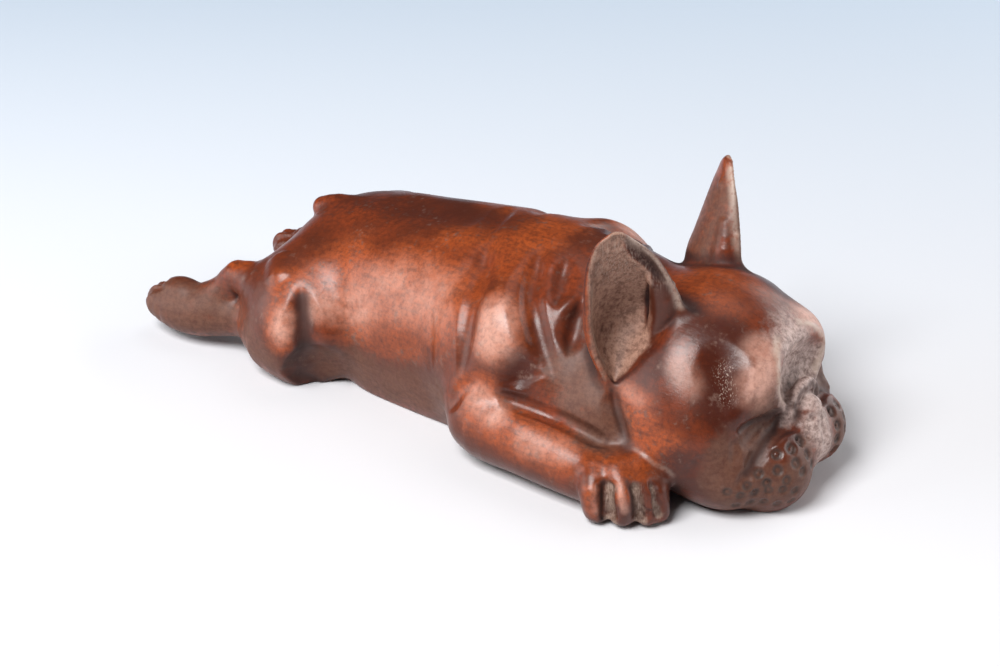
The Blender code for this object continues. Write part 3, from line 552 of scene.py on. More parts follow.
def nose_lines(clay):
    """Knife lines round the roll over the nose and round the nose itself."""
    outer = [(-3.7, -47.9, 13.4), (-2.9, -47.6, 14.7), (-1.3, -47.1, 15.3), (0, -46.9, 15.3)]
    inner = [(-3.1, -48.6, 13.2), (-2.6, -48.6, 14.2), (-1.3, -48.7, 14.8), (0, -48.7, 14.9)]
    nostril = [(-2.9, -48.7, 13.9), (-2.9, -48.8, 13.2), (-2.5, -48.9, 12.5)]
    for side in (RIGHT, LEFT):
        clay.stroke(on(side, outer), width=0.5, depth=0.3, edge=1.2, ends=0.2, spacing=0.4)
        clay.stroke(on(side, inner), width=0.5, depth=0.35, edge=1.2, ends=0.2, spacing=0.4)
        clay.stroke(on(side, nostril), width=0.6, depth=0.7, edge=1.2, ends=0.4, spacing=0.3)


def stop_edges(clay):
    """The crisp rim of the flat hollow between the brows."""
    edge = [(0, -45.8, 21.9), (-2.2, -45.7, 21.7), (-4.4, -46.2, 21.3), (-5.9, -46.9, 20.4),
            (-6.4, -47.4, 18.8), (-5.6, -47.6, 16.8), (-4.6, -47.5, 14.6)]
    for side in (RIGHT, LEFT):
        clay.stroke(on(side, edge), width=0.8, depth=-0.22, ends=0.15, spacing=0.6)


def eye_lines(clay):
    """The line of the upper lid, the slit of the eye and the sharp edge of the flew below it."""
    ridge = [(-7.2, -46.6, 11.4), (-9.2, -46.4, 10.3), (-11.2, -46.1, 8.9)]
    flew = [(-3.2, -49.2, 10.8), (-4.5, -48.1, 10.8), (-6.6, -47.7, 10.3), (-9.0, -47.6, 9.2),
            (-10.8, -47.3, 7.8)]
    for side in (RIGHT, LEFT):
        clay.stroke(on(side, UPPER_LID), width=0.35, depth=0.3, edge=1.2, ends=0.15, spacing=0.4)
        clay.stroke(on(side, EYE_SLIT), width=0.4, depth=0.4, edge=1.2, ends=0.15, spacing=0.4)
        clay.stroke(on(side, ridge), width=0.5, depth=-0.2, ends=0.3, spacing=0.5)
        clay.stroke(on(side, flew), width=0.5, depth=-0.2, ends=0.2, spacing=0.5)


def toe_cuts(clay):
    """Long knife cuts that leave flat-bottomed gouges between the toes."""
    cuts = [              # width, depth, places along the cut
        (0.5, 0.5, [(-22.9, -32.2, 6.8), (-23.4, -32.5, 5.0), (-23.6, -33.0, 2.8), (-23.7, -33.4, 1.0)]),
        (0.5, 0.35, [(-23.0, -33.5, 7.2), (-23.8, -34.4, 5.8), (-24.2, -34.9, 4.0), (-24.1, -35.1, 2.0)]),
        (0.4, 0.4, [(-21.4, -35.3, 7.2), (-21.8, -36.1, 5.4), (-21.9, -36.8, 3.4), (-21.9, -37.2, 1.5)]),
        (0.35, 0.3, [(-20.9, -36.3, 6.7), (-21.5, -37.5, 5.6), (-21.7, -38.2, 4.0), (-21.3, -38.6, 2.2)]),
        (0.35, 0.35, [(-19.9, -37.0, 6.6), (-20.2, -37.7, 5.4), (-20.1, -38.6, 3.8), (-19.8, -39.1, 2.4)])]
    floors = [
        (1.1, 0.5, [(-22.9, -32.8, 6.8), (-23.5, -33.2, 4.3), (-23.4, -33.6, 1.4)]),
        (0.8, 0.5, [(-21.4, -35.4, 6.8), (-21.7, -36.4, 4.6), (-21.4, -36.8, 1.5)]),
        (0.6, 0.4, [(-19.7, -36.9, 6.4), (-20.3, -37.9, 4.4), (-19.8, -38.5, 1.6)])]
    for side in (RIGHT, LEFT):
        for width, depth, points in floors:
            clay.stroke(on(side, points), width, depth, edge=0.8, ends=0.15, spacing=0.5)
        for width, depth, points in cuts:
            clay.stroke(on(side, points), width, depth, edge=1.2, ends=0.2, spacing=0.5)


def sculpt(cell):
    """The whole carving as a field, masses first and the finest cuts last."""
    clay = Clay(cell)
    for step in (trunk, front_legs, hind_legs, head, muzzle, ears, face, shoulder_folds, limb_creases,
                 toe_gouges, nose_lines, stop_edges, eye_lines, toe_cuts, whiskers):
        step(clay)
    clay.plane_base()
    clay.close_pinches()
    return clay


def skin(clay):
    """The surface where the field is zero, as places and four-sided faces, one place a cell."""
    inside = clay.field < 0
    size = np.array(inside.shape)
    rings, spots = [], []
    for axis in range(3):
        step = np.eye(3, dtype=int)[axis]
        first, second = np.eye(3, dtype=int)[(axis + 1) % 3], np.eye(3, dtype=int)[(axis + 2) % 3]
        near = tuple(slice(0, -1 if i == axis else None) for i in range(3))
        far = tuple(slice(1 if i == axis else 0, None) for i in range(3))
        at = np.argwhere(inside[near] != inside[far])
        before, after = clay.field[tuple(at.T)], clay.field[tuple((at + step).T)]
        ring = np.stack([at - first - second, at - second, at, at - first], 1)
        ring = (ring[..., 0] * size[1] + ring[..., 1]) * size[2] + ring[..., 2]
        rings.append(np.where((before < 0)[:, None], ring, ring[:, ::-1]))
        spots.append(at + step * (before / (before - after))[:, None])
    rings = np.vstack(rings)
    cells, index = np.unique(rings.ravel(), return_inverse=True)
    index = index.ravel()
    spots = np.repeat(np.vstack(spots), 4, axis=0)
    total = np.stack([np.bincount(index, weights=spots[:, i], minlength=len(cells)) for i in range(3)], 1)
    places = total / np.bincount(index, minlength=len(cells))[:, None]
    return clay.low + places * clay.cell, index.reshape(-1, 4)


def relaxed(places, faces, share):
    """The places, each moved a share of the way to the middle of its neighbours."""
    total, count = np.zeros_like(places), np.zeros(len(places))
    for i in range(4):
        for j in ((i + 1) % 4, (i + 3) % 4):
            count += np.bincount(faces[:, i], minlength=len(places))
            for axis in range(3):
                total[:, axis] += np.bincount(faces[:, i], weights=places[faces[:, j], axis],
                                              minlength=len(places))
    return places + share * (total / count[:, None] - places)


def brushed(clay, places, strokes):
    """How far each place lies inside soft brush strokes along the surface."""
    amount = np.zeros(len(places))
    for strength, radius, points in strokes:
        path = clay.press(smooth_curve(points, 0.7 * radius) if len(points) > 1 else points)
        away = np.min([np.linalg.norm(places - spot, axis=1) for spot in path], axis=0)
        inside = np.clip(1.2 - 0.6 * away / radius, 0, 1)
        amount = np.maximum(amount, strength * inside * inside * (3 - 2 * inside))
    return amount


def in_the_ears(places):
    """Masks of the grey hollow of the ears, its hairy upper part and the darker ramp in front of it."""
    hollow, hair, ramp = np.zeros((3, len(places)))
    for side in (RIGHT, LEFT):
        root, across, out = ear_frame(side)
        offset = places - root
        u, n, height = offset @ across, offset @ out, offset[:, 2]
        shift, half, depth = columns(EAR_ROWS, 0.4, height, (1, 2, 3))
        ring = np.sqrt(((u - shift) / half)**2 + (n / depth)**2)
        inside = np.clip((0.97 - ring) / 0.08, 0, 1) * np.clip((0.5 - n) / 0.8, 0, 1)
        inside = inside * ((height > EAR_ROWS[0][0]) & (height < EAR_ROWS[-1][0]))
        front = np.clip((u - np.interp(height, HOLLOW_EDGE[0], HOLLOW_EDGE[1])) / 0.5 + 0.5, 0, 1)
        hollow = np.maximum(hollow, inside * (1 - front))
        hair = np.maximum(hair, inside * np.clip((height - 7.5) / 4.0, 0, 1))
        ramp = np.maximum(ramp, inside * front)
    return hollow, hair, ramp


def in_the_marks(clay, places):
    """How far each place lies in the rings of the whisker marks."""
    amount = np.zeros(len(places))
    for spot, radius in whisker_marks():
        away = np.linalg.norm(places - clay.press([spot])[0], axis=1) / radius
        amount = np.maximum(amount, np.exp(-((away - 0.8) / 0.38)**2))
    return amount


def patina_and_painted_light(clay, places, normals):
    """Wear, dirt, painted highlights and painted shade at each place of the surface, as masks by name."""
    # how closed in each place is, like occlusion: it darkens the colour for dark patina in the hollows and
    # also paints their shade
    crease = sum(np.clip(1 - clay.sample(places + reach * normals) / reach, 0, 1)
                 for reach in (0.5, 1.5, 3.5)) / 3
    edge = sum(np.clip(1 + clay.sample(places - reach * normals) / reach, 0, 1)
               for reach in (0.6, 1.5, 3.0)) / 3
    right_side = places.copy()
    right_side[:, 0] = -np.abs(places[:, 0])
    hollow, hair, ramp = in_the_ears(places)
    masks = {name: brushed(clay, right_side, strokes) * (1 - hollow) * (1 - ramp)
             for name, strokes in STROKES.items()}
    masks["pale"] = np.maximum(masks["pale"], brushed(clay, right_side, EAR_PALE))
    crease = crease * (1 - 0.8 * np.minimum(masks["bare_and_painted_highlight"], 1)) * (1 - 0.5 * hollow)
    return {"crease": crease, "edge": edge, "hollow": hollow, "hair": hair, "ramp": ramp,
            "ring": in_the_marks(clay, right_side), **masks}


HOLLOW_EDGE = (           # heights in the ear, and how far forwards the grey hollow reaches there
    (-3.7, -1.9, -0.3, 1.9, 4.0, 6.3, 8.5, 10.6, 11.7, 13.3, 15.1),
    (-0.7, 0.6, 1.6, 2.2, 2.4, 2.1, 1.9, 1.9, 0.9, -0.9, -2.0))
EAR_PALE = [              # strength, radius, places along the stroke, here and in the next tables
    (0.9, 0.7, in_ear(RIGHT, [(-1.0, 16.2, -0.3), (0.5, 15.0, -0.4), (2.4, 12.8, -0.5), (4.2, 10.4, -0.5),
                              (5.2, 8.2, -0.4), (5.7, 6.4, -0.3)])),
    (0.5, 0.4, in_ear(RIGHT, [(-4.6, 14.4, -1.2), (-5.9, 12.0, -1.4), (-6.2, 8.0, -1.4), (-5.9, 4.0, -1.6),
                              (-5.0, 1.0, -1.6), (-3.6, -1.8, -1.2)]))]
EAR_RIM = (1.0, 0.9, in_ear(RIGHT, [(-5.9, 15.6, -0.1), (-7.0, 12.7, -0.1), (-7.3, 9.0, 0), (-7.1, 5.0, 0),
                                    (-6.5, 1.5, 0), (-5.4, -1.5, 0), (-4.4, -3.4, 0)]))
STROKES = {               # all on the right side of the dog, and mirrored for its left side
    "worn": [
        EAR_RIM,
        (0.9, 3.2, [(-20.8, -12.1, 9.0), (-21.8, -18.5, 8.0), (-21.6, -25.0, 7.8)]),
        (0.7, 2.6, [(-21.0, -27.0, 8.6), (-21.4, -32.4, 8.2), (-20.0, -34.6, 8.0)]),
        (0.8, 1.2, [(-22.8, -34.2, 7.0), (-23.4, -35.2, 5.6)]),
        (0.9, 2.0, [(-19.9, -9.0, 11.3), (-19.8, -12.2, 12.0)]),
        (0.8, 3.6, [(-15.7, -11.5, 22.1), (-17.6, -12.0, 18.5)]),
        (0.9, 2.4, [(-20.2, 23.4, 12.5), (-20.6, 23.6, 9.0)]),
        (0.8, 4.0, [(0.8, -7.1, 26.6), (-3.0, -8.0, 26.3)]),
        (0.8, 1.6, [(-25.0, -32.1, 5.5), (-24.8, -32.3, 3.0)]),
        (0.9, 2.4, [(-16.9, -32.6, 12.8), (-17.3, -35.4, 11.2), (-17.2, -38.0, 10.4)]),
        (0.7, 2.0, [(-15.3, -29.5, 14.7), (-15.8, -32.7, 15.3)]),
        (0.9, 6.0, [(-14.3, -0.1, 19.3), (-13.4, 7.0, 18.5), (-14.3, 12.0, 15.5), (-13.3, 16.7, 16.5)]),
        (0.6, 4.5, [(-16.4, 4.0, 12.0), (-15.6, 13.0, 11.0)]),
        (0.6, 3.5, [(-6.0, 3.4, 24.9), (-5.2, -3.7, 25.8), (-9.0, -9.0, 25.0)]),
        (0.8, 2.6, [(-16.6, 23.4, 15.9), (-17.0, 25.0, 14.8)]),
        (0.9, 2.0, [(-13.9, 36.6, 14.4)]),
        (0.6, 4.0, [(2.6, -29.1, 25.3), (-3.7, -37.0, 25.8)])],
    # darker red: painted shade in the temple groove, beside the ear, under the cheek, between the neck
    # folds, low on the flank and in the thigh crease; darker wood along the spine and beside the nose
    "stain_and_painted_shade": [
        (0.7, 2.4, [(-8.0, -36.0, 25.0), (-8.0, -38.6, 24.0)]),
        (1.0, 3.4, [(-8.4, -39.8, 23.0), (-10.7, -42.1, 18.9), (-12.2, -43.4, 15.6)]),
        (0.8, 2.0, [(-14.2, -33.1, 18.3), (-12.6, -33.0, 20.8)]),
        (0.8, 2.6, [(-17.2, -40.0, 8.6), (-16.0, -42.5, 6.0)]),
        (1.0, 1.5, [(-5.2, -50.1, 10.0), (-5.9, -50.9, 8.8), (-6.8, -51.3, 7.4)]),
        (0.9, 2.2, [(-17.6, -15.5, 15.0), (-17.8, -14.6, 12.6)]),
        (0.8, 2.6, [(-17.5, -0.5, 7.6), (-16.1, 7.5, 5.6), (-15.7, 13.2, 5.5)]),
        (0.9, 1.6, [(-17.8, 21.6, 13.6), (-19.2, 20.4, 8.0), (-18.6, 18.8, 3.0)]),
        (0.5, 4.0, [(0, -2.0, 26.0), (0, 10.0, 24.3), (0, 20.0, 23.4), (0, 28.0, 21.5)])],
    # dull grey-brown: matt wood round the eyes, on the flews, the throat and the ear, and painted shade low
    # along the belly and the hind leg
    "dull_and_painted_shade": [
        (0.8, 3.6, [(-17.8, -3.7, 5.0), (-17.5, -0.5, 5.0), (-16.1, 7.5, 4.0), (-15.9, 14.0, 4.0),
                    (-17.3, 17.5, 4.0)]),
        (0.7, 3.6, [(-21.6, 27.0, 4.6), (-18.1, 33.0, 6.0)]),
        (0.9, 4.5, [(-17.6, 39.1, 6.0), (-18.6, 46.1, 6.0), (-18.0, 50.0, 5.0)]),
        (0.9, 2.4, [(-7.4, -46.2, 12.0), (-9.6, -45.9, 11.0), (-12.0, -45.8, 9.6)]),
        (0.8, 2.6, [(-13.6, -44.6, 10.5), (-14.4, -44.4, 6.5), (-11.4, -47.8, 3.0)]),
        (0.9, 3.4, [(-6.0, -51.6, 6.0), (-9.6, -49.6, 5.0), (-12.6, -47.0, 3.6)]),
        (0.9, 1.3, [(-8.1, -46.9, 16.8), (-9.3, -46.3, 15.6), (-7.3, -47.3, 15.4)]),
        (0.7, 4.0, [(-9.0, -27.0, 33.0), (-10.0, -28.0, 27.0)]),
        (1.0, 3.2, [(-16.0, -22.0, 15.5), (-17.0, -25.6, 12.4), (-18.0, -28.6, 10.6)])],
    # pale grey matt wood on the nose bridge, round the nose and on the lip, made pale enough to also paint
    # the highlight there; the stroke on the brow is a painted highlight
    "bare_and_painted_highlight": [
        (1.0, 4.0, [(0, -45.8, 19.5), (0, -46.2, 16.5)]),
        (0.5, 1.8, [(-8.0, -45.9, 19.8), (-9.0, -46.0, 18.0)]),
        (1.0, 2.2, [(-3.2, -46.9, 14.6), (-4.6, -47.2, 16.4)]),
        (1.0, 1.2, [(-4.4, -47.6, 14.1), (-4.1, -48.1, 13.0), (-4.3, -48.3, 12.0)]),
        (1.0, 1.0, [(-3.2, -48.3, 13.4), (-2.0, -48.0, 15.0), (0, -47.9, 15.3)]),
        (1.0, 1.6, [(-0.5, -49.4, 13.4)]),
        (0.9, 2.4, [(-0.5, -51.0, 11.0), (0, -51.5, 8.0), (0, -51.5, 5.0)])],
    "cut": [
        (1.0, 0.8, [(-23.1, -33.1, 5.8), (-23.5, -33.3, 4.0), (-23.4, -33.6, 1.6)]),
        (1.0, 0.75, [(-21.5, -35.8, 6.0), (-21.7, -36.4, 4.4), (-21.4, -36.8, 1.7)]),
        (0.9, 0.45, [(-20.0, -37.2, 5.8), (-20.3, -37.9, 4.2), (-19.8, -38.5, 2.0)])],
    # painted highlights: pale pink where highlights fall on the toes, brow, cheek, forearm, shoulder, thigh
    # and flank, partly read as pale worn polish
    "painted_sheen": [
        (0.7, 0.45, [(-23.2, -34.5, 6.8), (-23.6, -35.2, 5.4), (-23.4, -35.6, 3.6)]),
        (0.5, 0.6, [(-24.6, -32.0, 6.0), (-24.7, -32.4, 3.0)]),
        (1.0, 2.0, [(-6.4, -45.0, 21.8), (-7.8, -45.8, 20.2), (-9.4, -45.9, 18.4)]),
        (0.5, 1.4, [(-12.5, -36.5, 20.1), (-13.3, -38.5, 18.2)]),
        (0.9, 1.5, [(-20.4, -11.0, 10.4), (-21.2, -14.0, 9.4)]),
        (1.0, 2.2, [(-16.2, -11.0, 21.2), (-17.8, -12.0, 18.0)]),
        (1.0, 1.3, [(-20.3, 23.0, 12.0), (-20.6, 23.4, 9.6)]),
        (0.8, 1.8, [(-17.0, 19.0, 13.6), (-16.6, 14.0, 14.4)]),
        (0.5, 3.4, [(-14.0, 1.0, 19.0), (-13.6, 8.0, 18.4), (-14.6, 13.0, 15.5)]),
        (0.5, 1.5, [(-22.2, -20.0, 7.6), (-21.8, -25.0, 7.6)]),
        (0.35, 0.8, [(-15.1, -28.6, 16.0), (-15.6, -31.0, 15.6), (-15.8, -32.7, 15.3)])],
    "pale": [
        (0.8, 0.45, [(-3.1, -45.1, 22.3), (-5.3, -46.4, 20.8), (-6.5, -47.5, 18.0), (-4.9, -47.4, 15.0)]),
        (0.25, 0.25, [(-18.0, -33.6, 9.4), (-17.4, -36.4, 7.6), (-16.6, -38.0, 6.6)])],
    # dark lines along the lids, eye slits and nose, the back of the cheek, the thigh crease and beside the
    # toes: painted shade in the knife lines and creases
    "line": [
        (0.9, 0.5, UPPER_LID),
        (0.9, 0.5, EYE_SLIT),
        (0.8, 0.45, [(-3.7, -47.9, 13.4), (-2.9, -47.6, 14.7), (-1.3, -47.1, 15.4), (0, -46.9, 15.5)]),
        (0.8, 0.45, [(-2.4, -48.6, 14.0), (-1.6, -48.6, 14.8), (0, -48.7, 14.9)]),
        (1.0, 0.6, [(-3.1, -48.6, 13.6), (-2.9, -48.8, 12.4)]),
        (0.8, 0.5, [(-5.4, -47.4, 13.2), (-5.2, -47.4, 12.0)]),
        (0.7, 0.7, CHEEK_BACK),
        (0.8, 0.8, [(-17.6, 21.9, 14.1), (-18.9, 20.7, 10.2), (-19.4, 20.2, 6.5)]),
        (0.9, 0.35, [(-22.1, -34.8, 6.9), (-22.6, -35.9, 5.2), (-22.4, -36.3, 2.8)]),
        (0.9, 0.35, [(-23.0, -32.1, 6.6), (-23.8, -32.4, 4.2), (-23.8, -32.8, 1.4)])],
    "rub": [
        (1.0, 1.0, [(-9.8, -41.4, 19.6), (-10.6, -42.0, 18.4), (-11.2, -42.8, 17.0)])]}


RED_BROWN = (0.22, 0.038, 0.010, 1)
DARK_BROWN = (0.065, 0.015, 0.007, 1)
# dark red of the stain strokes, mostly painted shade
DARK_RED = (0.055, 0.010, 0.005, 1)
ORANGE = (0.34, 0.065, 0.013, 1)
# grey-brown of the dull strokes; low on the body it is painted shade
DULL_AND_SHADE_BROWN = (0.13, 0.052, 0.030, 1)
HOLLOW_BROWN = (0.40, 0.225, 0.160, 1)
# pale grey of bare wood, pale enough to stand for a highlight
BARE_GREY_AND_HIGHLIGHT = (0.56, 0.415, 0.370, 1)
CUT_BROWN = (0.30, 0.200, 0.150, 1)
PALE_LINE = (0.50, 0.380, 0.310, 1)
# pale pink of the painted highlights
PAINTED_SHEEN = (0.58, 0.310, 0.235, 1)
# dark of the painted shade lines
DARK_LINE = (0.040, 0.014, 0.010, 1)
RING_BROWN = (0.050, 0.030, 0.024, 1)
# multiplied in where the surface is closed in: dark patina, and painted occlusion shade
CREASE_BROWN = (0.24, 0.15, 0.13, 1)


class Nodes:
    """Short calls that make and join the nodes of one material."""

    def __init__(self, name):
        self.material = bpy.data.materials.new(name)
        self.material.use_nodes = True
        self.tree = self.material.node_tree
        self.shader = self.tree.nodes["Principled BSDF"]
        self.place = self.tree.nodes.new("ShaderNodeTexCoord").outputs["Object"]

    def put(self, socket, value):
        """Sets a socket to a number or colour, or links it to another node's output."""
        if isinstance(value, bpy.types.NodeSocket):
            self.tree.links.new(value, socket)
        else:
            socket.default_value = value

    def node(self, kind, output, inputs, **settings):
        made = self.tree.nodes.new(kind)
        for name, value in settings.items():
            setattr(made, name, value)
        for key, value in inputs.items():
            self.put(made.inputs[key], value)
        return made.outputs[output]

    def mask(self, name):
        return self.node("ShaderNodeAttribute", "Fac", {}, attribute_name=name)

    def stretched(self, scale):
        return self.node("ShaderNodeMapping", "Vector", {"Vector": self.place, "Scale": scale})

    def noise(self, scale, vector=None, detail=3.0, roughness=0.55):
        inputs = {"Vector": vector or self.place, "Scale": scale, "Detail": detail, "Roughness": roughness}
        return self.node("ShaderNodeTexNoise", "Fac", inputs)

    def ranged(self, value, low, high, to_low=0.0, to_high=1.0):
        inputs = {"Value": value, "From Min": low, "From Max": high, "To Min": to_low, "To Max": to_high}
        return self.node("ShaderNodeMapRange", "Result", inputs, interpolation_type="SMOOTHSTEP")

    def math(self, operation, *values):
        return self.node("ShaderNodeMath", "Value", dict(enumerate(values)), operation=operation)

    def mix(self, share, first, second, blend="MIX"):
        inputs = {0: share, 6: first, 7: second}
        return self.node("ShaderNodeMix", 2, inputs, data_type="RGBA", blend_type=blend)


def boxwood():
    """Reddish-brown polished boxwood, orange where hands wore it, grey-brown and dull in the hollows, with
    painted highlights on rounded places and painted shade in the creases, the knife lines and low on the
    body.
    """
    n = Nodes("boxwood")
    broad = n.noise(70.0, detail=2.0)
    mottle = n.noise(260.0, detail=4.0, roughness=0.6)
    speckle = n.noise(1500.0, detail=4.0, roughness=0.7)
    streak = n.noise(1500.0, n.stretched((1.0, 0.14, 1.0)), roughness=0.6)
    grit = n.noise(1100.0, detail=3.0, roughness=0.65)
    specks = n.noise(6000.0, n.stretched((1.0, 1.0, 0.2)), detail=1.0)
    ragged = n.math("ADD", n.math("MULTIPLY", n.math("SUBTRACT", mottle, 0.5), 0.9),
                    n.math("MULTIPLY", n.math("SUBTRACT", grit, 0.5), 1.1))

    def patch(name):
        return n.ranged(n.math("ADD", n.mask(name), ragged), 0.1, 0.95)

    hollow = patch("hollow")
    hairs = n.ranged(n.noise(6500.0, n.stretched((1.0, 1.0, 0.06)), detail=2.0), 0.45, 0.7, 0.0, 0.45)
    wood = n.mix(n.ranged(broad, 0.3, 0.7), DARK_BROWN, RED_BROWN)
    wood = n.mix(n.ranged(mottle, 0.4, 0.7, 0.0, 0.6), wood, DARK_BROWN)
    wood = n.mix(n.ranged(n.mask("edge"), 0.35, 0.8, 0.0, 0.5), wood, ORANGE)
    # the stain and dull strokes also paint shade, and the bare strokes a highlight
    for name, colour in (("worn", ORANGE), ("stain_and_painted_shade", DARK_RED), ("bare_and_painted_highlight", BARE_GREY_AND_HIGHLIGHT), ("dull_and_painted_shade", DULL_AND_SHADE_BROWN),
                         ("ramp", DARK_BROWN), ("hollow", HOLLOW_BROWN), ("cut", CUT_BROWN)):
        wood = n.mix(patch(name), wood, colour)
    wood = n.mix(n.ranged(grit, 0.45, 0.7, 0.0, 0.5), wood, DARK_BROWN)
    wood = n.mix(n.ranged(streak, 0.45, 0.75, 0.0, 0.45), wood, DARK_BROWN)
    wood = n.mix(n.ranged(speckle, 0.35, 0.75, 0.0, 0.4), wood, DARK_BROWN)
    # painted highlight: pale pink mixed in over the highlight strokes
    wood = n.mix(n.math("MULTIPLY", n.mask("painted_sheen"), n.ranged(mottle, 0.3, 0.6, 0.3, 0.8)), wood, PAINTED_SHEEN)
    wood = n.mix(n.ranged(speckle, 0.4, 0.75, 0.0, 0.35), wood, DARK_BROWN)
    knifed = n.math("MAXIMUM", n.mask("hair"), n.mask("cut"))
    wood = n.mix(n.math("MULTIPLY", hairs, knifed), wood, PALE_LINE)
    wood = n.mix(n.math("MULTIPLY", n.ranged(specks, 0.55, 0.72, 0.0, 0.6), n.mask("rub")), wood, PALE_LINE)
    wood = n.mix(n.math("MULTIPLY", n.mask("pale"), n.ranged(grit, 0.3, 0.55, 0.3, 0.8)), wood, PALE_LINE)
    wood = n.mix(n.math("MULTIPLY", n.mask("ring"), 0.8), wood, RING_BROWN)
    # painted shade: dark lines along the knife lines and creases
    wood = n.mix(n.math("MULTIPLY", n.mask("line"), 0.85), wood, DARK_LINE)
    # darker where the surface is closed in: dark patina, and painted occlusion shade
    wood = n.mix(n.ranged(n.mask("crease"), 0.08, 0.5), wood, CREASE_BROWN, blend="MULTIPLY")
    n.put(n.shader.inputs["Base Color"], wood)
    gloss = n.ranged(mottle, 0.3, 0.7, 0.28, 0.38)
    carved = n.math("MAXIMUM", n.mask("line"), n.ranged(n.mask("crease"), 0.1, 0.4))
    matt = n.math("MAXIMUM", n.math("MAXIMUM", hollow, patch("cut")),
                  n.math("MULTIPLY", n.math("MAXIMUM", patch("dull_and_painted_shade"), patch("bare_and_painted_highlight")), 0.7))
    matt = n.math("MAXIMUM", matt, n.math("MULTIPLY", carved, 1.3))
    n.put(n.shader.inputs["Roughness"], n.math("ADD", gloss, n.math("MULTIPLY", matt, 0.26)))
    n.shader.inputs["Specular IOR Level"].default_value = 0.38
    relief = n.math("ADD", n.math("MULTIPLY", speckle, 0.5), n.math("MULTIPLY", streak, 0.5))
    bump = n.node("ShaderNodeBump", "Normal", {"Height": relief, "Strength": 0.5, "Distance": 0.0001})
    n.put(n.shader.inputs["Normal"], bump)
    return n.material


def carving():
    """The fine carving as one mesh, with its patina, painted highlights and painted shade in masks on its
    points.
    """
    clay = sculpt(CELL)
    places, faces = skin(clay)
    places = relaxed(places, faces, 0.5)
    mesh = bpy.data.meshes.new("fine_carving")
    mesh.from_pydata((places * PART).tolist(), [], faces.tolist())
    dog = bpy.data.objects.new("fine_carving", mesh)
    bpy.context.scene.collection.objects.link(dog)
    thin = dog.modifiers.new("thin", "DECIMATE")
    thin.ratio = TRIANGLES / (2 * len(faces))
    bpy.context.view_layer.objects.active = dog
    bpy.ops.object.modifier_apply(modifier=thin.name)
    mesh.shade_smooth()
    spots, normals = (np.empty(3 * len(mesh.vertices), np.float32) for _ in range(2))
    mesh.vertices.foreach_get("co", spots)
    mesh.vertices.foreach_get("normal", normals)
    for name, amount in patina_and_painted_light(clay, spots.reshape(-1, 3) / PART, normals.reshape(-1, 3)).items():
        mask = mesh.attributes.new(name, "FLOAT", "POINT")
        mask.data.foreach_set("value", amount.astype(np.float32))
    mesh.materials.append(boxwood())
    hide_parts("dog_carving")
    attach(dog, "root")


TABLE_REACH = 3.0
TABLE_WHITE = (0.71, 0.705, 0.725, 1)
TABLE_BLUE = (0.58, 0.71, 0.86, 1)


def floor():
    """A wide white table that turns pale blue far behind the carving."""
    n = Nodes("table")
    away = n.node("ShaderNodeVectorMath", "Value", {0: n.place, 1: FAR_WAY}, operation="DOT_PRODUCT")
    share = n.node("ShaderNodeMapRange", "Result", {"Value": away, "From Min": -0.01, "From Max": 0.25})
    n.put(n.shader.inputs["Base Color"], n.mix(share, TABLE_WHITE, TABLE_BLUE))
    n.shader.inputs["Roughness"].default_value = 0.6
    n.shader.inputs["Specular IOR Level"].default_value = 0.1
    mesh = bpy.data.meshes.new("table")
    corners = [(x * TABLE_REACH, y * TABLE_REACH, 0) for x, y in ((-1, -1), (1, -1), (1, 1), (-1, 1))]
    mesh.from_pydata(corners, [], [(0, 1, 2, 3)])
    mesh.materials.append(n.material)
    table = bpy.data.objects.new("table", mesh)
    bpy.context.scene.collection.objects.link(table)


# The camera's place, in metres and turned about the carving as the photograph was
VIEW_AZIMUTH = math.radians(-55.7)
VIEW_ELEVATION = math.radians(28.6)
VIEW_ROLL = math.radians(0.4)
VIEW_DISTANCE = 0.2697
VIEW_CENTRE = Vector((0.0003, 0, 0.0076))
FOCAL_PER_WIDTH = 1.86
SENSOR_WIDTH = 36
ROOM_COLOUR = (0.86, 0.92, 1.0, 1)
ROOM_LIGHT = 0.05         # what the dim room adds to the light of the lamps
ROOM_SEEN = 0.9           # how bright its wall looks past the table's edge, in low views
LAMP_TARGET = (0, 0, 0.015)
LAMPS = [                 # name, azimuth and elevation in degrees, distance, width, height, power
    ("right_box", -95, 54, 0.5, 0.24, 0.24, 3.3),
    ("right_wall", -140, 16, 0.5, 0.45, 0.3, 1.3),
    ("nose_box", 50, 18, 0.5, 0.9, 0.36, 2.7),
    ("overhead", 95, 66, 0.8, 0.4, 0.4, 0.6)]
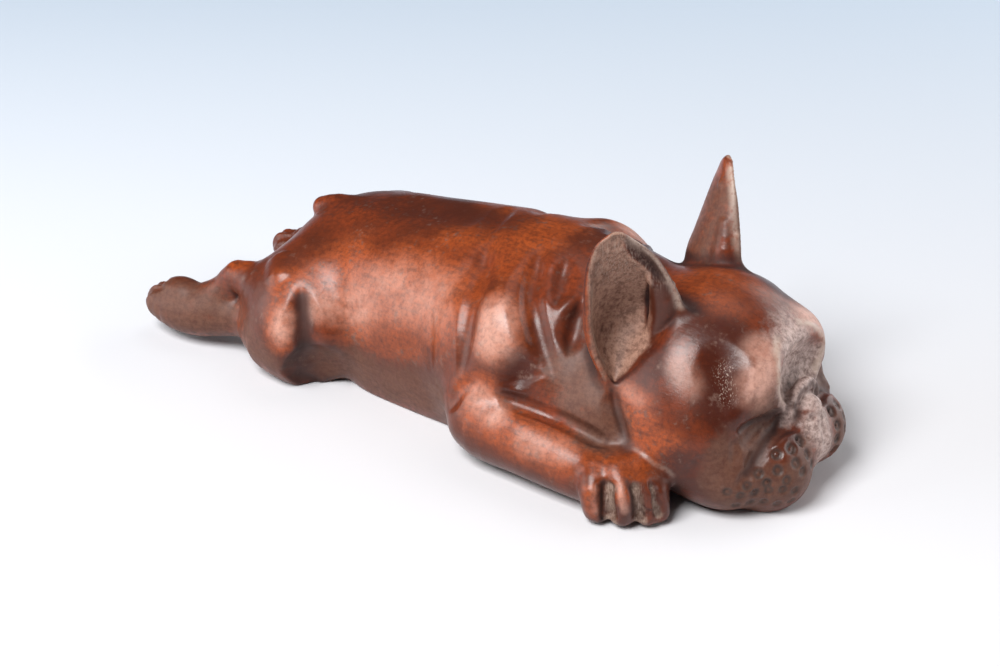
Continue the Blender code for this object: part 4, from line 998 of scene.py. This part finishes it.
FAR_WAY = (-math.sin(VIEW_AZIMUTH), math.cos(VIEW_AZIMUTH), 0)


def aimed(thing, place, target):
    thing.location = place
    thing.rotation_mode = "QUATERNION"
    thing.rotation_quaternion = (Vector(target) - Vector(place)).to_track_quat("-Z", "Y")
    bpy.context.scene.collection.objects.link(thing)


def direction(azimuth, elevation):
    return Vector((math.sin(azimuth) * math.cos(elevation), -math.cos(azimuth) * math.cos(elevation),
                   math.sin(elevation)))


def camera():
    data = bpy.data.cameras.new("camera")
    data.sensor_width = SENSOR_WIDTH
    data.lens = FOCAL_PER_WIDTH * SENSOR_WIDTH
    data.clip_start = 0.01
    eye = bpy.data.objects.new("camera", data)
    aimed(eye, VIEW_CENTRE + VIEW_DISTANCE * direction(VIEW_AZIMUTH, VIEW_ELEVATION), VIEW_CENTRE)
    eye.rotation_quaternion = eye.rotation_quaternion @ Quaternion((0, 0, 1), VIEW_ROLL)
    bpy.context.scene.camera = eye


def light():
    """Four soft boxes in a dim room: high on the carving's right, low behind it, past its nose, overhead."""
    world = bpy.data.worlds.new("room")
    world.use_nodes = True
    room = world.node_tree.nodes["Background"]
    room.inputs["Color"].default_value = ROOM_COLOUR
    seen = world.node_tree.nodes.new("ShaderNodeLightPath").outputs["Is Camera Ray"]
    strength = world.node_tree.nodes.new("ShaderNodeMapRange")
    strength.inputs["To Min"].default_value = ROOM_LIGHT
    strength.inputs["To Max"].default_value = ROOM_SEEN
    world.node_tree.links.new(seen, strength.inputs["Value"])
    world.node_tree.links.new(strength.outputs["Result"], room.inputs["Strength"])
    bpy.context.scene.world = world
    for name, azimuth, elevation, distance, wide, tall, power in LAMPS:
        data = bpy.data.lights.new(name, "AREA")
        data.shape = "RECTANGLE"
        data.size = wide
        data.size_y = tall
        data.energy = power
        lamp = bpy.data.objects.new(name, data)
        aimed(lamp, distance * direction(math.radians(azimuth), math.radians(elevation)), LAMP_TARGET)
    bpy.context.scene.view_settings.view_transform = "Standard"


carving()
floor()
camera()
light()
